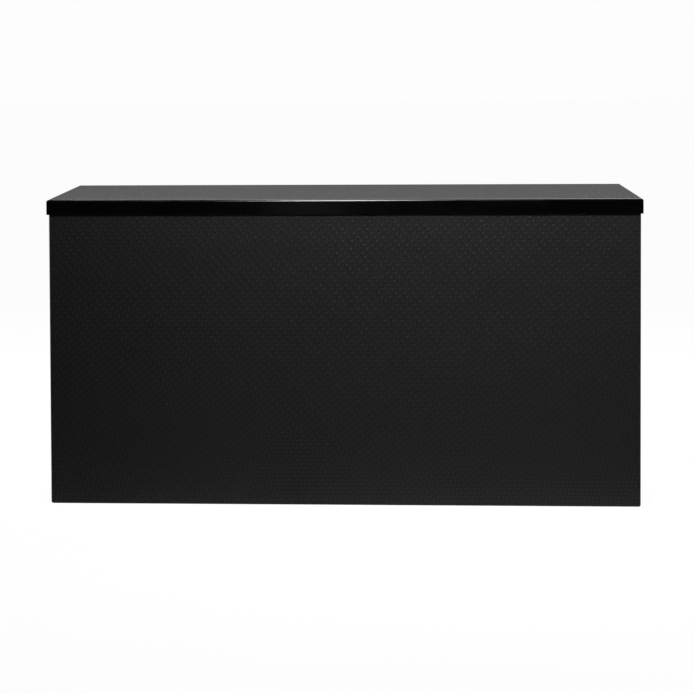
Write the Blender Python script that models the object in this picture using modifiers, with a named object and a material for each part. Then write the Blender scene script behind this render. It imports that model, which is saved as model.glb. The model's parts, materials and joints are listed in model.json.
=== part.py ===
"""Truck tool box: a sheet-steel chest with a cap lid, a continuous rear hinge, two gas springs
and a paddle latch in each end wall.

Metres, +Z up. The origin is the centre of the floor's underside. +X runs along the long side, the
front (opening) side faces -Y, and the hinge is on the +Y side.
"""

import math

import bmesh
import bpy
from mathutils import Matrix, Vector

# Body
WIDTH = 1.2192
DEPTH = 0.6096
HEIGHT = 0.6165
SHEET = 0.0016
BEND = 0.004
GAP = 0.0003
RIM = 0.025
RIM_LIP = 0.014
PAN_FLANGE = 0.022

# Lid
OVERHANG = 0.0045
LID_TOP = 0.635
LID_DROP = 0.031
LID_BEND = 0.0035
LID_UNDER = LID_TOP - SHEET
STIFFENER_SHEET = 0.0012
STIFFENER_DROP = 0.012
STIFFENER_LENGTH = 1.04
STIFFENER_FOOT = 0.040
STIFFENER_WEB = 0.025
STIFFENER_BEND = 0.002
STIFFENER_Y = 0.13

# Seal
SEAL_WIDTH = 0.012
SEAL_INSET = 0.0125
SEAL_CORNER = 0.020

# Hinge
LEAF = 0.0015
KNUCKLE = 0.0035
PIN = 0.0016
KNUCKLES = 24
LEAF_REACH = 0.034
HINGE_Y = DEPTH / 2 + GAP + KNUCKLE
HINGE_Z = LID_TOP - LID_DROP - 0.0055
CURL_TURN = math.radians(300)
CURL_STEPS = 10

# Gas springs: both pivots are this far from the hinge line, so the spring turns at half the lid's rate
SPRING_ARM = 0.300
SPRING_CLOSED = 0.360
SPRING_INSET = 0.045
LID_PIVOT_DROP = 0.0045
TUBE_RADIUS = 0.011
TUBE_BORE = 0.0093
TUBE_LENGTH = 0.275
TUBE_END = 0.004
TUBE_CHAMFER = 0.002
NECK_RADIUS = 0.0046
ROD_RADIUS = 0.004
ROD_END = 0.316
PISTON_RADIUS = 0.0088
PISTON_LENGTH = 0.012
EYE_RADIUS = 0.0095
EYE_WIDTH = 0.012
EYE_BORE = 0.0044
EYE_NECK = 0.006
EYE_REACH = 0.016
STUD_RADIUS = 0.004
STUD_SHOULDER = 0.0065
STUD_HEAD = 0.0025
STUD_CHAMFER = 0.001
BRACKET_PLATE = 0.0025
WALL_PLATE_HALF = 0.025
LID_BRACKET_HALF = 0.018
LID_BRACKET_INSET = 0.031
LID_BRACKET_BELOW = 0.012
LID_BRACKET_FOOT = 0.030

# End latches, measured from the latch's centre on the end wall's outer face
LATCH_Y = -0.170
LATCH_Z = HEIGHT - 0.085
DISH_LENGTH = 0.100
DISH_HEIGHT = 0.066
DISH_FLOOR = -0.021
DISH_WALL = 0.0012
DISH_FLANGE = 0.012
DISH_FACE = 0.0028
DISH_CORNER = 0.008
POCKET_CORNER = 0.004
CUTOUT_CLEARANCE = 0.001
GASKET = 0.001
PIVOT_V = -0.040
PIVOT_U = -0.007
PIVOT_PIN = 0.002
PIVOT_BORE = 0.0023
PADDLE_THICK = 0.003
PADDLE_FACE = 0.001
PADDLE_HALF = 0.030
PADDLE_AHEAD = 0.004
PADDLE_END = 0.026
EAR_RADIUS = 0.0045
EAR_LOW = 0.022
EAR_HIGH = 0.027
EAR_HALF = 0.003
BOSS_HALF = 0.005
TAIL_HALF = 0.004
TAIL_THICK = 0.0025
TAIL_TIP = -0.031
BOLT_BACK = -0.042
BOLT_FACE = -0.0325
BOLT_HALF = 0.007
BOLT_NOSE = -0.082
BOLT_TAIL = 0.008
BOLT_PLAY = 0.0005
BOLT_SLOPE = math.radians(42)
BOLT_SLOPE_LENGTH = 0.0135
LUG_THICK = 0.004
LUG_TOP = -0.026
CASE_BACK = -0.0475
CASE_FRONT_V = -0.058
CASE_REAR_V = 0.042
CASE_HALF = 0.0215
CASE_WALL = 0.0015
GUIDE_RADIUS = 0.0025
GUIDE_HOLE = 0.0033
GUIDE_BEYOND = 0.010
COIL_RADIUS = 0.0045
COIL_WIRE = 0.0006
LOCK_V = 0.012
LOCK_RADIUS = 0.0075
LOCK_END = -0.017
LOCK_PROUD = 0.0008
LOCK_SHAFT = 0.0032
KEY_HALF = 0.0038
KEY_THICK = 0.0006
CAM_LENGTH = 0.010
CAM_HALF = 0.0035
CAM_THICK = 0.0018
CAM_CORNER = 0.0025
CAM_BEHIND = 0.0005
RIVET_SHANK = 0.0024
RIVET_HOLE = 0.0027
RIVET_HEAD = 0.0050
RIVET_RISE = 0.0013
RIVET_FOOT = 0.0042
RIVET_END = -0.005
CATCH_V = -0.075
CATCH_PLATE = 0.003
CATCH_NEAR = -0.0285
CATCH_FAR = -0.052
CATCH_LOW = -0.016
CATCH_FOOT = 0.028
CATCH_PLAY = 0.0015

ROUND_SIDES = 20
SMALL_SIDES = 12
FAR = 0.05

LEFT, RIGHT = -1, 1
SIDE_NAMES = {LEFT: "left", RIGHT: "right"}


def clear_scene():
    for obj in list(bpy.data.objects):
        bpy.data.objects.remove(obj, do_unlink=True)


def new_collection(name, hidden):
    collection = bpy.data.collections.new(name)
    collection.hide_render = hidden
    bpy.context.scene.collection.children.link(collection)
    return collection


def finish(name, colour, roughness, metallic):
    material = bpy.data.materials.new(name)
    material.use_nodes = True
    shader = material.node_tree.nodes["Principled BSDF"]
    shader.inputs["Base Color"].default_value = (*colour, 1)
    shader.inputs["Roughness"].default_value = roughness
    shader.inputs["Metallic"].default_value = metallic
    return material


clear_scene()
PARTS = new_collection("truck_tool_box", hidden=False)
CUTTERS = new_collection("cutters", hidden=True)
BODY_PAINT = finish("body_paint", (0.012, 0.012, 0.013), 0.42, 0.0)
LID_PAINT = finish("lid_paint", (0.006, 0.006, 0.007), 0.12, 0.0)
STAINLESS = finish("stainless", (0.60, 0.60, 0.58), 0.30, 1.0)
ZINC = finish("zinc", (0.55, 0.56, 0.58), 0.38, 1.0)
CHROME = finish("chrome", (0.80, 0.80, 0.82), 0.08, 1.0)
SPRING_PAINT = finish("spring_paint", (0.010, 0.010, 0.010), 0.30, 0.0)
RUBBER = finish("rubber", (0.015, 0.015, 0.015), 0.75, 0.0)
PLASTIC = finish("plastic", (0.020, 0.020, 0.020), 0.50, 0.0)


def object_of(name, bm, material):
    """An object of the parts collection, or of the cutters' if it has no material."""
    mesh = bpy.data.meshes.new(name)
    bm.to_mesh(mesh)
    bm.free()
    mesh.shade_smooth()
    mesh.set_sharp_from_angle(angle=math.radians(30))
    obj = bpy.data.objects.new(name, mesh)
    if material is None:
        CUTTERS.objects.link(obj)
        obj.hide_render = True
        obj.display_type = "WIRE"
    else:
        PARTS.objects.link(obj)
        mesh.materials.append(material)
    return obj


def add_block(bm, corner, opposite):
    made = bmesh.ops.create_cube(bm, size=1)
    low = Vector(map(min, corner, opposite))
    high = Vector(map(max, corner, opposite))
    scale = Matrix.Diagonal((*(high - low), 1))
    bmesh.ops.transform(bm, matrix=Matrix.Translation((low + high) / 2) @ scale, verts=made["verts"])


def add_rod(bm, start, end, radius, sides):
    start, end = Vector(start), Vector(end)
    turn = (end - start).to_track_quat("Z", "Y").to_matrix().to_4x4()
    bmesh.ops.create_cone(
        bm,
        cap_ends=True,
        segments=sides,
        radius1=radius,
        radius2=radius,
        depth=(end - start).length,
        matrix=Matrix.Translation((start + end) / 2) @ turn,
    )


def block(name, corner, opposite, material=None):
    bm = bmesh.new()
    add_block(bm, corner, opposite)
    return object_of(name, bm, material)


def rod(name, start, end, radius, material=None, sides=ROUND_SIDES):
    bm = bmesh.new()
    add_rod(bm, start, end, radius, sides)
    return object_of(name, bm, material)


def rounded_block(name, corner, opposite, radius, chosen, material=None, segments=3):
    """A block with the edges that chosen(middle, direction) names rounded to radius."""
    bm = bmesh.new()
    add_block(bm, corner, opposite)
    edges = []
    for edge in bm.edges:
        start, end = (v.co for v in edge.verts)
        if chosen((start + end) / 2, (end - start).normalized()):
            edges.append(edge)
    bmesh.ops.bevel(bm, geom=edges, offset=radius, segments=segments, profile=0.5, affect="EDGES")
    return object_of(name, bm, material)


def boolean(obj, other, operation):
    modifier = obj.modifiers.new(f"{operation.lower()}_{other.name}", "BOOLEAN")
    modifier.operation = operation
    modifier.solver = "EXACT"
    modifier.object = other


def cut(obj, *cutters):
    for cutter in cutters:
        boolean(obj, cutter, "DIFFERENCE")


def join(obj, *others):
    for other in others:
        boolean(obj, other, "UNION")


def bent(points, radius, segments=3):
    """The points of a line in a plane, with each inner corner rounded to radius."""
    points = [Vector(p) for p in points]
    line = [points[0]]
    for before, corner, after in zip(points, points[1:], points[2:]):
        back = (before - corner).normalized()
        ahead = (after - corner).normalized()
        half = back.angle(ahead) / 2
        centre = corner + (back + ahead).normalized() * radius / math.sin(half)
        start = corner + back * radius / math.tan(half) - centre
        end = corner + ahead * radius / math.tan(half) - centre
        sweep = math.pi - 2 * half
        for i in range(segments + 1):
            share = i / segments
            arm = start * math.sin((1 - share) * sweep) + end * math.sin(share * sweep)
            line.append(centre + arm / math.sin(sweep))
    line.append(points[-1])
    return line


def sheet(name, line, reach, thickness, facing, material):
    """A bent sheet. line is its outer face in YZ, reach its two ends in X, and facing points out
    of the outer face at the line's first stretch."""
    bm = bmesh.new()
    verts = [bm.verts.new((reach[0], y, z)) for y, z in line]
    edges = [bm.edges.new(pair) for pair in zip(verts, verts[1:])]
    drawn = bmesh.ops.extrude_edge_only(bm, edges=edges)["geom"]
    moved = [g for g in drawn if isinstance(g, bmesh.types.BMVert)]
    bmesh.ops.translate(bm, verts=moved, vec=(reach[1] - reach[0], 0, 0))
    bm.normal_update()
    first = next(f for f in bm.faces if verts[0] in f.verts)
    if first.normal.dot(Vector(facing)) < 0:
        bmesh.ops.reverse_faces(bm, faces=bm.faces[:])
    obj = object_of(name, bm, material)
    solidify = obj.modifiers.new("thickness", "SOLIDIFY")
    solidify.thickness = thickness
    solidify.offset = -1
    solidify.use_even_offset = True
    return obj


def turned(name, profile, material, steps=ROUND_SIDES):
    """A turned piece about its own Z axis. profile is (radius, z) and runs down the outer side."""
    bm = bmesh.new()
    verts = [bm.verts.new((radius, 0, z)) for radius, z in profile]
    for pair in zip(verts, verts[1:]):
        bm.edges.new(pair)
    obj = object_of(name, bm, material)
    screw = obj.modifiers.new("turn", "SCREW")
    screw.axis = "Z"
    screw.angle = 2 * math.pi
    screw.steps = steps
    screw.render_steps = steps
    screw.use_merge_vertices = True
    screw.merge_threshold = 0.00001
    screw.use_smooth_shade = False
    return obj


def pivot(name, place, tilt=0.0):
    """An empty on a joint's axis, turned about X by tilt."""
    empty = bpy.data.objects.new(name, None)
    PARTS.objects.link(empty)
    empty.location = place
    empty.rotation_euler = (tilt, 0, 0)
    return empty


def hang(empty, *objects):
    """Parents objects made in world coordinates to an empty that isn't turned, with their origins on it."""
    for obj in objects:
        obj.data.transform(Matrix.Translation(-empty.location))
        obj.parent = empty


def hang_turned(empty, *objects):
    """Parents objects made in a turned empty's own axes."""
    for obj in objects:
        obj.parent = empty


# Body -----------------------------------------------------------------------------------------


def body_wrap():
    """Front wall, floor and rear wall in one sheet, with the front and rear rims turned in."""
    wall, inner, lip = DEPTH / 2, DEPTH / 2 - RIM, HEIGHT - RIM_LIP
    corners = [(-inner, lip), (-inner, HEIGHT), (-wall, HEIGHT), (-wall, 0)]
    line = bent(corners + [(-y, z) for y, z in reversed(corners)], BEND)
    end = WIDTH / 2 - BEND - GAP
    return sheet("body_wrap", line, (-end, end), SHEET, (0, 1, 0), BODY_PAINT)


def end_panel(side):
    """An end wall with its corner bends, a joggled flange inside the wrap, and the end rim."""
    name = f"end_panel_{SIDE_NAMES[side]}"
    outer, wall = side * WIDTH / 2, DEPTH / 2
    inner = outer - side * PAN_FLANGE
    layer = SHEET + GAP

    def rounded(middle, direction):
        on_end = abs(middle.x - outer) < GAP and middle.z < HEIGHT - GAP
        return on_end or (abs(direction.x) > 0.9 and middle.z < GAP)

    panel = rounded_block(name, (inner, -wall, 0), (outer, wall, HEIGHT), BEND, rounded, BODY_PAINT)
    hollow = wall - layer - SHEET
    pocket = block(
        f"{name}_pocket",
        (inner - side * FAR, -hollow, layer + SHEET),
        (outer - side * SHEET, hollow, HEIGHT + FAR),
    )
    step = outer - side * BEND
    lap = block(f"{name}_lap", (inner - side * FAR, -wall - FAR, -FAR), (step, wall + FAR, HEIGHT + FAR))
    keep = wall - layer
    kept = rounded_block(
        f"{name}_kept",
        (inner - side * 2 * FAR, -keep, layer),
        (outer, keep, HEIGHT - layer),
        BEND - layer,
        lambda middle, direction: abs(direction.x) > 0.9,
    )
    cut(lap, kept)
    cut(panel, pocket, lap)
    span = DEPTH / 2 - RIM - GAP
    rim_edge = outer - side * RIM
    ledge = block(
        f"{name}_ledge",
        (rim_edge, -span, HEIGHT - SHEET),
        (outer - side * SHEET / 2, span, HEIGHT),
    )
    lip = block(
        f"{name}_lip",
        (rim_edge, -span, HEIGHT - RIM_LIP),
        (rim_edge + side * SHEET, span, HEIGHT - SHEET / 2),
    )
    join(panel, ledge, lip)
    return panel


def rim_seal():
    """The rubber bulb that the lid closes on, a solid ring here."""
    height = LID_UNDER - HEIGHT - 2 * GAP
    half_x = WIDTH / 2 - SEAL_INSET - SEAL_CORNER
    half_y = DEPTH / 2 - SEAL_INSET - SEAL_CORNER
    curve = bpy.data.curves.new("rim_seal", "CURVE")
    curve.dimensions = "3D"
    curve.twist_mode = "Z_UP"
    curve.bevel_depth = SEAL_WIDTH / 2
    curve.extrude = height / 2 - SEAL_WIDTH / 2
    curve.bevel_resolution = 2
    points = []
    corner_steps = 4
    for corner, (x, y) in enumerate([(half_x, half_y), (-half_x, half_y), (-half_x, -half_y), (half_x, -half_y)]):
        for i in range(corner_steps + 1):
            angle = math.radians(90) * (corner + i / corner_steps)
            points.append((x + SEAL_CORNER * math.cos(angle), y + SEAL_CORNER * math.sin(angle)))
    spline = curve.splines.new("POLY")
    spline.points.add(len(points) - 1)
    for point, (x, y) in zip(spline.points, points):
        point.co = (x, y, HEIGHT + GAP + height / 2, 1)
    spline.use_cyclic_u = True
    curve.materials.append(RUBBER)
    seal = bpy.data.objects.new("rim_seal", curve)
    PARTS.objects.link(seal)
    return seal


# Lid and hinge --------------------------------------------------------------------------------


def lid_skin():
    """One sheet with a drop flange on each side."""

    def rounded(middle, direction):
        return abs(direction.z) > 0.9 or middle.z > LID_TOP - GAP

    def inner_rounded(middle, direction):
        return abs(direction.z) > 0.9 or middle.z > LID_UNDER - GAP

    x, y = WIDTH / 2 + OVERHANG, DEPTH / 2 + OVERHANG
    bottom = LID_TOP - LID_DROP
    skin = rounded_block("lid_skin", (-x, -y, bottom), (x, y, LID_TOP), LID_BEND, rounded, LID_PAINT)
    hollow = rounded_block(
        "lid_skin_hollow",
        (SHEET - x, SHEET - y, bottom - FAR),
        (x - SHEET, y - SHEET, LID_UNDER),
        LID_BEND - SHEET,
        inner_rounded,
    )
    cut(skin, hollow)
    return skin


def lid_stiffener(name, middle):
    """A hat channel under the lid skin."""
    top, foot, web = LID_UNDER - GAP, STIFFENER_FOOT, STIFFENER_WEB
    floor = top - STIFFENER_DROP
    line = [(-foot, top), (-web, top), (-web, floor), (web, floor), (web, top), (foot, top)]
    line = bent([(middle + y, z) for y, z in line], STIFFENER_BEND, segments=2)
    reach = STIFFENER_LENGTH / 2
    return sheet(name, line, (-reach, reach), STIFFENER_SHEET, (0, 0, 1), LID_PAINT)


def curl(start, towards):
    """A leaf's outer face in YZ: straight from start to the barrel, then most of the way round it.
    towards is 1 for the leaf below the pin, whose curl runs over the top, and -1 for the other."""
    line = [start, (HINGE_Y - KNUCKLE, HINGE_Z - towards * KNUCKLE)]
    for i in range(CURL_STEPS + 1):
        angle = math.pi - towards * CURL_TURN * i / CURL_STEPS
        line.append((HINGE_Y + KNUCKLE * math.cos(angle), HINGE_Z + KNUCKLE * math.sin(angle)))
    return line


def comb(name, first):
    """The notches that make room for the other leaf's knuckles."""
    bm = bmesh.new()
    pitch = WIDTH / KNUCKLES
    reach = KNUCKLE + 0.001
    for i in range(first, KNUCKLES, 2):
        start = -WIDTH / 2 + i * pitch
        low = (start - GAP / 2, HINGE_Y - 2 * KNUCKLE, HINGE_Z - reach)
        high = (start + pitch + GAP / 2, HINGE_Y + 2 * KNUCKLE, HINGE_Z + reach)
        add_block(bm, low, high)
    return object_of(name, bm, None)


def hinge_leaves():
    """The two leaves of the continuous hinge: one outside the rear wall, one inside the lid's flange."""
    reach = (-WIDTH / 2, WIDTH / 2)
    below = curl((HINGE_Y - KNUCKLE, HINGE_Z - LEAF_REACH), 1)
    above = curl((HINGE_Y - KNUCKLE, LID_UNDER - LID_BEND), -1)
    body_leaf = sheet("hinge_leaf_body", below, reach, LEAF, (0, -1, 0), ZINC)
    lid_leaf = sheet("hinge_leaf_lid", above, reach, LEAF, (0, -1, 0), ZINC)
    cut(body_leaf, comb("hinge_notches_body", 1))
    cut(lid_leaf, comb("hinge_notches_lid", 0))
    return body_leaf, lid_leaf


def hinge_pin():
    start, end = (-WIDTH / 2, HINGE_Y, HINGE_Z), (WIDTH / 2, HINGE_Y, HINGE_Z)
    return rod("hinge_pin", start, end, PIN, ZINC, SMALL_SIDES)


# Gas springs ----------------------------------------------------------------------------------


def spring_pivots():
    """(wall pivot, lid pivot, the tilt about X of a line from the first to the second), at rest."""
    lid_angle = math.pi + math.asin(LID_PIVOT_DROP / SPRING_ARM)
    wall_angle = lid_angle + 2 * math.asin(SPRING_CLOSED / 2 / SPRING_ARM)
    lid, wall = (
        Vector((0, HINGE_Y + SPRING_ARM * math.cos(a), HINGE_Z + SPRING_ARM * math.sin(a)))
        for a in (lid_angle, wall_angle)
    )
    line = lid - wall
    return wall, lid, math.atan2(line.z, line.y) - math.pi / 2


def eye(name, empty):
    """The ring that turns on a stud, with its neck along the spring."""
    ring = rod(name, (-EYE_WIDTH / 2, 0, 0), (EYE_WIDTH / 2, 0, 0), EYE_RADIUS, PLASTIC)
    neck = rod(f"{name}_neck", (0, 0, EYE_RADIUS / 2), (0, 0, EYE_REACH), EYE_NECK, sides=SMALL_SIDES)
    hole = rod(f"{name}_hole", (-EYE_WIDTH, 0, 0), (EYE_WIDTH, 0, 0), EYE_BORE)
    join(ring, neck)
    cut(ring, hole)
    hang_turned(empty, ring, neck, hole)


def spring_tube(side, empty):
    bottom, mouth = EYE_REACH + GAP, EYE_REACH + TUBE_LENGTH
    profile = [
        (0, bottom + TUBE_END),
        (TUBE_BORE, bottom + TUBE_END),
        (TUBE_BORE, mouth - TUBE_END),
        (NECK_RADIUS, mouth - TUBE_END),
        (NECK_RADIUS, mouth),
        (TUBE_RADIUS - TUBE_CHAMFER, mouth),
        (TUBE_RADIUS, mouth - TUBE_CHAMFER),
        (TUBE_RADIUS, bottom + TUBE_CHAMFER),
        (TUBE_RADIUS - TUBE_CHAMFER, bottom),
        (0, bottom),
    ]
    hang_turned(empty, turned(f"spring_tube_{side}", profile, SPRING_PAINT))


def spring_rod(side, empty):
    bottom = EYE_REACH + GAP
    profile = [(0, ROD_END), (ROD_RADIUS, ROD_END), (ROD_RADIUS, bottom), (0, bottom)]
    hang_turned(empty, turned(f"spring_rod_{side}", profile, CHROME))
    low, high = ROD_END + GAP, ROD_END + GAP + PISTON_LENGTH
    profile = [
        (0, high),
        (PISTON_RADIUS - STUD_CHAMFER, high),
        (PISTON_RADIUS, high - STUD_CHAMFER),
        (PISTON_RADIUS, low),
        (0, low),
    ]
    hang_turned(empty, turned(f"spring_piston_{side}", profile, PLASTIC))


def stud(name, side, place, base):
    """A shouldered stud along X: base is the X of its foot, and its head holds the eye on."""
    middle = side * (WIDTH / 2 - SPRING_INSET)
    near, far = middle + side * (EYE_WIDTH / 2 + GAP), middle - side * (EYE_WIDTH / 2 + GAP)
    reach = abs(base - near)
    shank = abs(base - far)
    head = shank + STUD_HEAD
    profile = [
        (0, head),
        (STUD_SHOULDER - STUD_CHAMFER, head),
        (STUD_SHOULDER, head - STUD_CHAMFER),
        (STUD_SHOULDER, shank),
        (STUD_RADIUS, shank),
        (STUD_RADIUS, reach),
        (STUD_SHOULDER, reach),
        (STUD_SHOULDER, 0),
        (0, 0),
    ]
    piece = turned(name, profile, ZINC)
    piece.location = (base, place.y, place.z)
    piece.rotation_euler = (0, -side * math.pi / 2, 0)
    return piece


def gas_spring(side):
    name = SIDE_NAMES[side]
    wall, lid, tilt = spring_pivots()
    middle = Vector((side * (WIDTH / 2 - SPRING_INSET), 0, 0))
    lower = pivot(f"pivot_spring_tube_{name}", wall + middle, tilt)
    upper = pivot(f"pivot_spring_rod_{name}", lid + middle, tilt + math.pi)
    eye(f"spring_tube_eye_{name}", lower)
    spring_tube(name, lower)
    eye(f"spring_rod_eye_{name}", upper)
    spring_rod(name, upper)

    face = side * (WIDTH / 2 - SHEET - GAP)
    half = WALL_PLATE_HALF
    block(
        f"spring_wall_plate_{name}",
        (face, wall.y - half, wall.z - half),
        (face - side * BRACKET_PLATE, wall.y + half, wall.z + half),
        ZINC,
    )
    stud(f"spring_wall_stud_{name}", side, wall, face - side * (BRACKET_PLATE + GAP))

    leg = side * (WIDTH / 2 - LID_BRACKET_INSET)
    top, half = LID_UNDER - GAP, LID_BRACKET_HALF
    bracket = block(
        f"spring_lid_bracket_{name}",
        (leg, lid.y - half, lid.z - LID_BRACKET_BELOW),
        (leg - side * BRACKET_PLATE, lid.y + half, top),
        ZINC,
    )
    foot = block(
        f"spring_lid_bracket_foot_{name}",
        (leg, lid.y - half, top - BRACKET_PLATE),
        (leg - side * LID_BRACKET_FOOT, lid.y + half, top),
    )
    join(bracket, foot)
    lid_stud = stud(f"spring_lid_stud_{name}", side, lid, leg - side * (BRACKET_PLATE + GAP))
    return bracket, lid_stud


# End latches ----------------------------------------------------------------------------------


def spot(side, u, v, w):
    """A point near a latch: u out of the end wall, v towards the rear, w up."""
    return Vector((side * (WIDTH / 2 + u), LATCH_Y + v, LATCH_Z + w))


def latch_block(name, side, low, high, material=None):
    return block(name, spot(side, *low), spot(side, *high), material)


def latch_plate(name, side, low, high, radius, material=None):
    """A latch block with its four edges along u rounded."""

    def along_u(middle, direction):
        return abs(direction.x) > 0.9

    return rounded_block(name, spot(side, *low), spot(side, *high), radius, along_u, material)


def rivet_spots():
    v = DISH_LENGTH / 2 + DISH_FLANGE / 2
    w = DISH_HEIGHT / 2 + DISH_FLANGE / 2
    return [(-v, -w), (v, -w), (v, w), (-v, w)]


def rivet_holes(name, side):
    bm = bmesh.new()
    for v, w in rivet_spots():
        add_rod(bm, spot(side, -FAR / 5, v, w), spot(side, FAR / 5, v, w), RIVET_HOLE, SMALL_SIDES)
    return object_of(name, bm, None)


def dish_outline(extra):
    return DISH_LENGTH / 2 + extra, DISH_HEIGHT / 2 + extra


def latch_opening(side, panel, holes):
    """The cut-out in the end wall that the dish drops into."""
    v, w = dish_outline(CUTOUT_CLEARANCE)
    name = f"latch_cutout_{SIDE_NAMES[side]}"
    cut(panel, latch_block(name, side, (-0.01, -v, -w), (0.01, v, w)), holes)


def latch_gasket(side, holes):
    name = f"latch_gasket_{SIDE_NAMES[side]}"
    v, w = dish_outline(DISH_FLANGE)
    gasket = latch_plate(name, side, (GAP, -v, -w), (GAP + GASKET, v, w), DISH_CORNER, RUBBER)
    v, w = dish_outline(CUTOUT_CLEARANCE)
    cut(gasket, latch_block(f"{name}_hole", side, (-0.01, -v, -w), (0.01, v, w)), holes)


def latch_dish(side, holes):
    """The recessed dish: flange, tray, and slots in its floor for the paddle's tail and the lock."""
    name = f"latch_dish_{SIDE_NAMES[side]}"
    v, w = dish_outline(DISH_FLANGE)
    low = GASKET + 2 * GAP
    dish = latch_plate(name, side, (low, -v, -w), (DISH_FACE, v, w), DISH_CORNER, STAINLESS)
    v, w = dish_outline(0)
    tray = latch_block(f"{name}_tray", side, (DISH_FLOOR, -v, -w), (DISH_FACE - GAP, v, w))
    join(dish, tray)
    v, w = dish_outline(-DISH_WALL)
    pocket = latch_plate(f"{name}_pocket", side, (DISH_FLOOR + DISH_WALL, -v, -w), (FAR, v, w), POCKET_CORNER)
    below, above = DISH_FLOOR - FAR / 10, DISH_FLOOR + FAR / 10
    tail_slot = latch_block(
        f"{name}_tail_slot", side, (below, PIVOT_V - 0.002, -0.006), (above, PIVOT_V + 0.011, 0.006)
    )
    lock_slot = latch_block(
        f"{name}_lock_slot", side, (below, LOCK_V - 0.0115, -0.0045), (above, LOCK_V + 0.014, 0.0045)
    )
    pin_hole = rod(
        f"{name}_pin_hole",
        spot(side, PIVOT_U, PIVOT_V, -FAR),
        spot(side, PIVOT_U, PIVOT_V, FAR),
        PIVOT_BORE,
        sides=SMALL_SIDES,
    )
    cut(dish, pocket, tail_slot, lock_slot, pin_hole, holes)


def latch_paddle(side, empty):
    """The paddle with its two pivot ears and the tail that moves the bolt."""
    name = f"latch_paddle_{SIDE_NAMES[side]}"
    under = PADDLE_FACE - PADDLE_THICK
    paddle = latch_plate(
        name,
        side,
        (under, PIVOT_V - PADDLE_AHEAD, -PADDLE_HALF),
        (PADDLE_FACE, PADDLE_END, PADDLE_HALF),
        POCKET_CORNER,
        STAINLESS,
    )
    pieces = [paddle]
    ears = {"low": (-EAR_HIGH, -EAR_LOW), "high": (EAR_LOW, EAR_HIGH), "boss": (-BOSS_HALF, BOSS_HALF)}
    for label, (low, high) in ears.items():
        arm = latch_block(
            f"{name}_{label}_arm",
            side,
            (PIVOT_U, PIVOT_V - EAR_HALF, low),
            (under + PADDLE_THICK / 2, PIVOT_V + EAR_HALF, high),
        )
        knob = rod(
            f"{name}_{label}_knob",
            spot(side, PIVOT_U, PIVOT_V, low - GAP),
            spot(side, PIVOT_U, PIVOT_V, high + GAP),
            EAR_RADIUS,
            sides=SMALL_SIDES,
        )
        join(paddle, arm, knob)
        pieces += [arm, knob]
    half = TAIL_THICK / 2
    tail = latch_block(
        f"{name}_tail", side, (TAIL_TIP, PIVOT_V - half, -TAIL_HALF), (PIVOT_U, PIVOT_V + half, TAIL_HALF)
    )
    join(paddle, tail)
    pin_hole = rod(
        f"{name}_pin_hole",
        spot(side, PIVOT_U, PIVOT_V, -FAR),
        spot(side, PIVOT_U, PIVOT_V, FAR),
        PIVOT_BORE,
        sides=SMALL_SIDES,
    )
    lock_hole = rod(
        f"{name}_lock_hole", spot(side, -FAR, LOCK_V, 0), spot(side, FAR, LOCK_V, 0), LOCK_RADIUS + GAP
    )
    cut(paddle, pin_hole, lock_hole)
    hang(empty, *pieces, tail, pin_hole, lock_hole)


def paddle_pin(side):
    name = f"latch_paddle_pin_{SIDE_NAMES[side]}"
    reach = DISH_HEIGHT / 2 + 0.002
    low, high = spot(side, PIVOT_U, PIVOT_V, -reach), spot(side, PIVOT_U, PIVOT_V, reach)
    return rod(name, low, high, PIVOT_PIN, ZINC, SMALL_SIDES)


def latch_lock(side, empty):
    """The key cylinder in the paddle, and the cam that turns behind the dish's floor."""
    name = SIDE_NAMES[side]
    cam_top = DISH_FLOOR - CAM_BEHIND
    cylinder = rod(
        f"latch_lock_cylinder_{name}",
        spot(side, LOCK_END, LOCK_V, 0),
        spot(side, PADDLE_FACE + LOCK_PROUD, LOCK_V, 0),
        LOCK_RADIUS,
        CHROME,
    )
    shaft = rod(
        f"latch_lock_shaft_{name}",
        spot(side, cam_top + GAP, LOCK_V, 0),
        spot(side, LOCK_END + 0.001, LOCK_V, 0),
        LOCK_SHAFT,
        sides=SMALL_SIDES,
    )
    key_slot = latch_block(
        f"latch_key_slot_{name}",
        side,
        (PADDLE_FACE - PADDLE_THICK, LOCK_V - KEY_THICK, -KEY_HALF),
        (FAR, LOCK_V + KEY_THICK, KEY_HALF),
    )
    join(cylinder, shaft)
    cut(cylinder, key_slot)
    cam = latch_plate(
        f"latch_lock_cam_{name}",
        side,
        (cam_top - CAM_THICK, LOCK_V - CAM_LENGTH, -CAM_HALF),
        (cam_top, LOCK_V + CAM_LENGTH, CAM_HALF),
        CAM_CORNER,
        ZINC,
    )
    hang(empty, cylinder, shaft, key_slot, cam)


def latch_case(side):
    """The folded case behind the dish that guides the bolt."""
    name = f"latch_case_{SIDE_NAMES[side]}"
    top = DISH_FLOOR - GAP
    case = latch_block(
        name, side, (CASE_BACK, CASE_FRONT_V, -CASE_HALF), (top, CASE_REAR_V, CASE_HALF), ZINC
    )
    half = CASE_HALF - CASE_WALL
    pocket = latch_block(
        f"{name}_pocket",
        side,
        (CASE_BACK + CASE_WALL, CASE_FRONT_V + CASE_WALL, -half),
        (top + FAR / 10, CASE_REAR_V - CASE_WALL, half),
    )
    window = latch_block(
        f"{name}_window",
        side,
        (BOLT_BACK - BOLT_PLAY, CASE_FRONT_V - FAR / 10, -BOLT_HALF - BOLT_PLAY),
        (BOLT_FACE + BOLT_PLAY, CASE_FRONT_V + FAR / 10, BOLT_HALF + BOLT_PLAY),
    )
    middle = (BOLT_BACK + BOLT_FACE) / 2
    rod_hole = rod(
        f"{name}_rod_hole",
        spot(side, middle, CASE_REAR_V - FAR / 10, 0),
        spot(side, middle, CASE_REAR_V + FAR / 10, 0),
        GUIDE_HOLE,
        sides=SMALL_SIDES,
    )
    cut(case, pocket, window, rod_hole)


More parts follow.
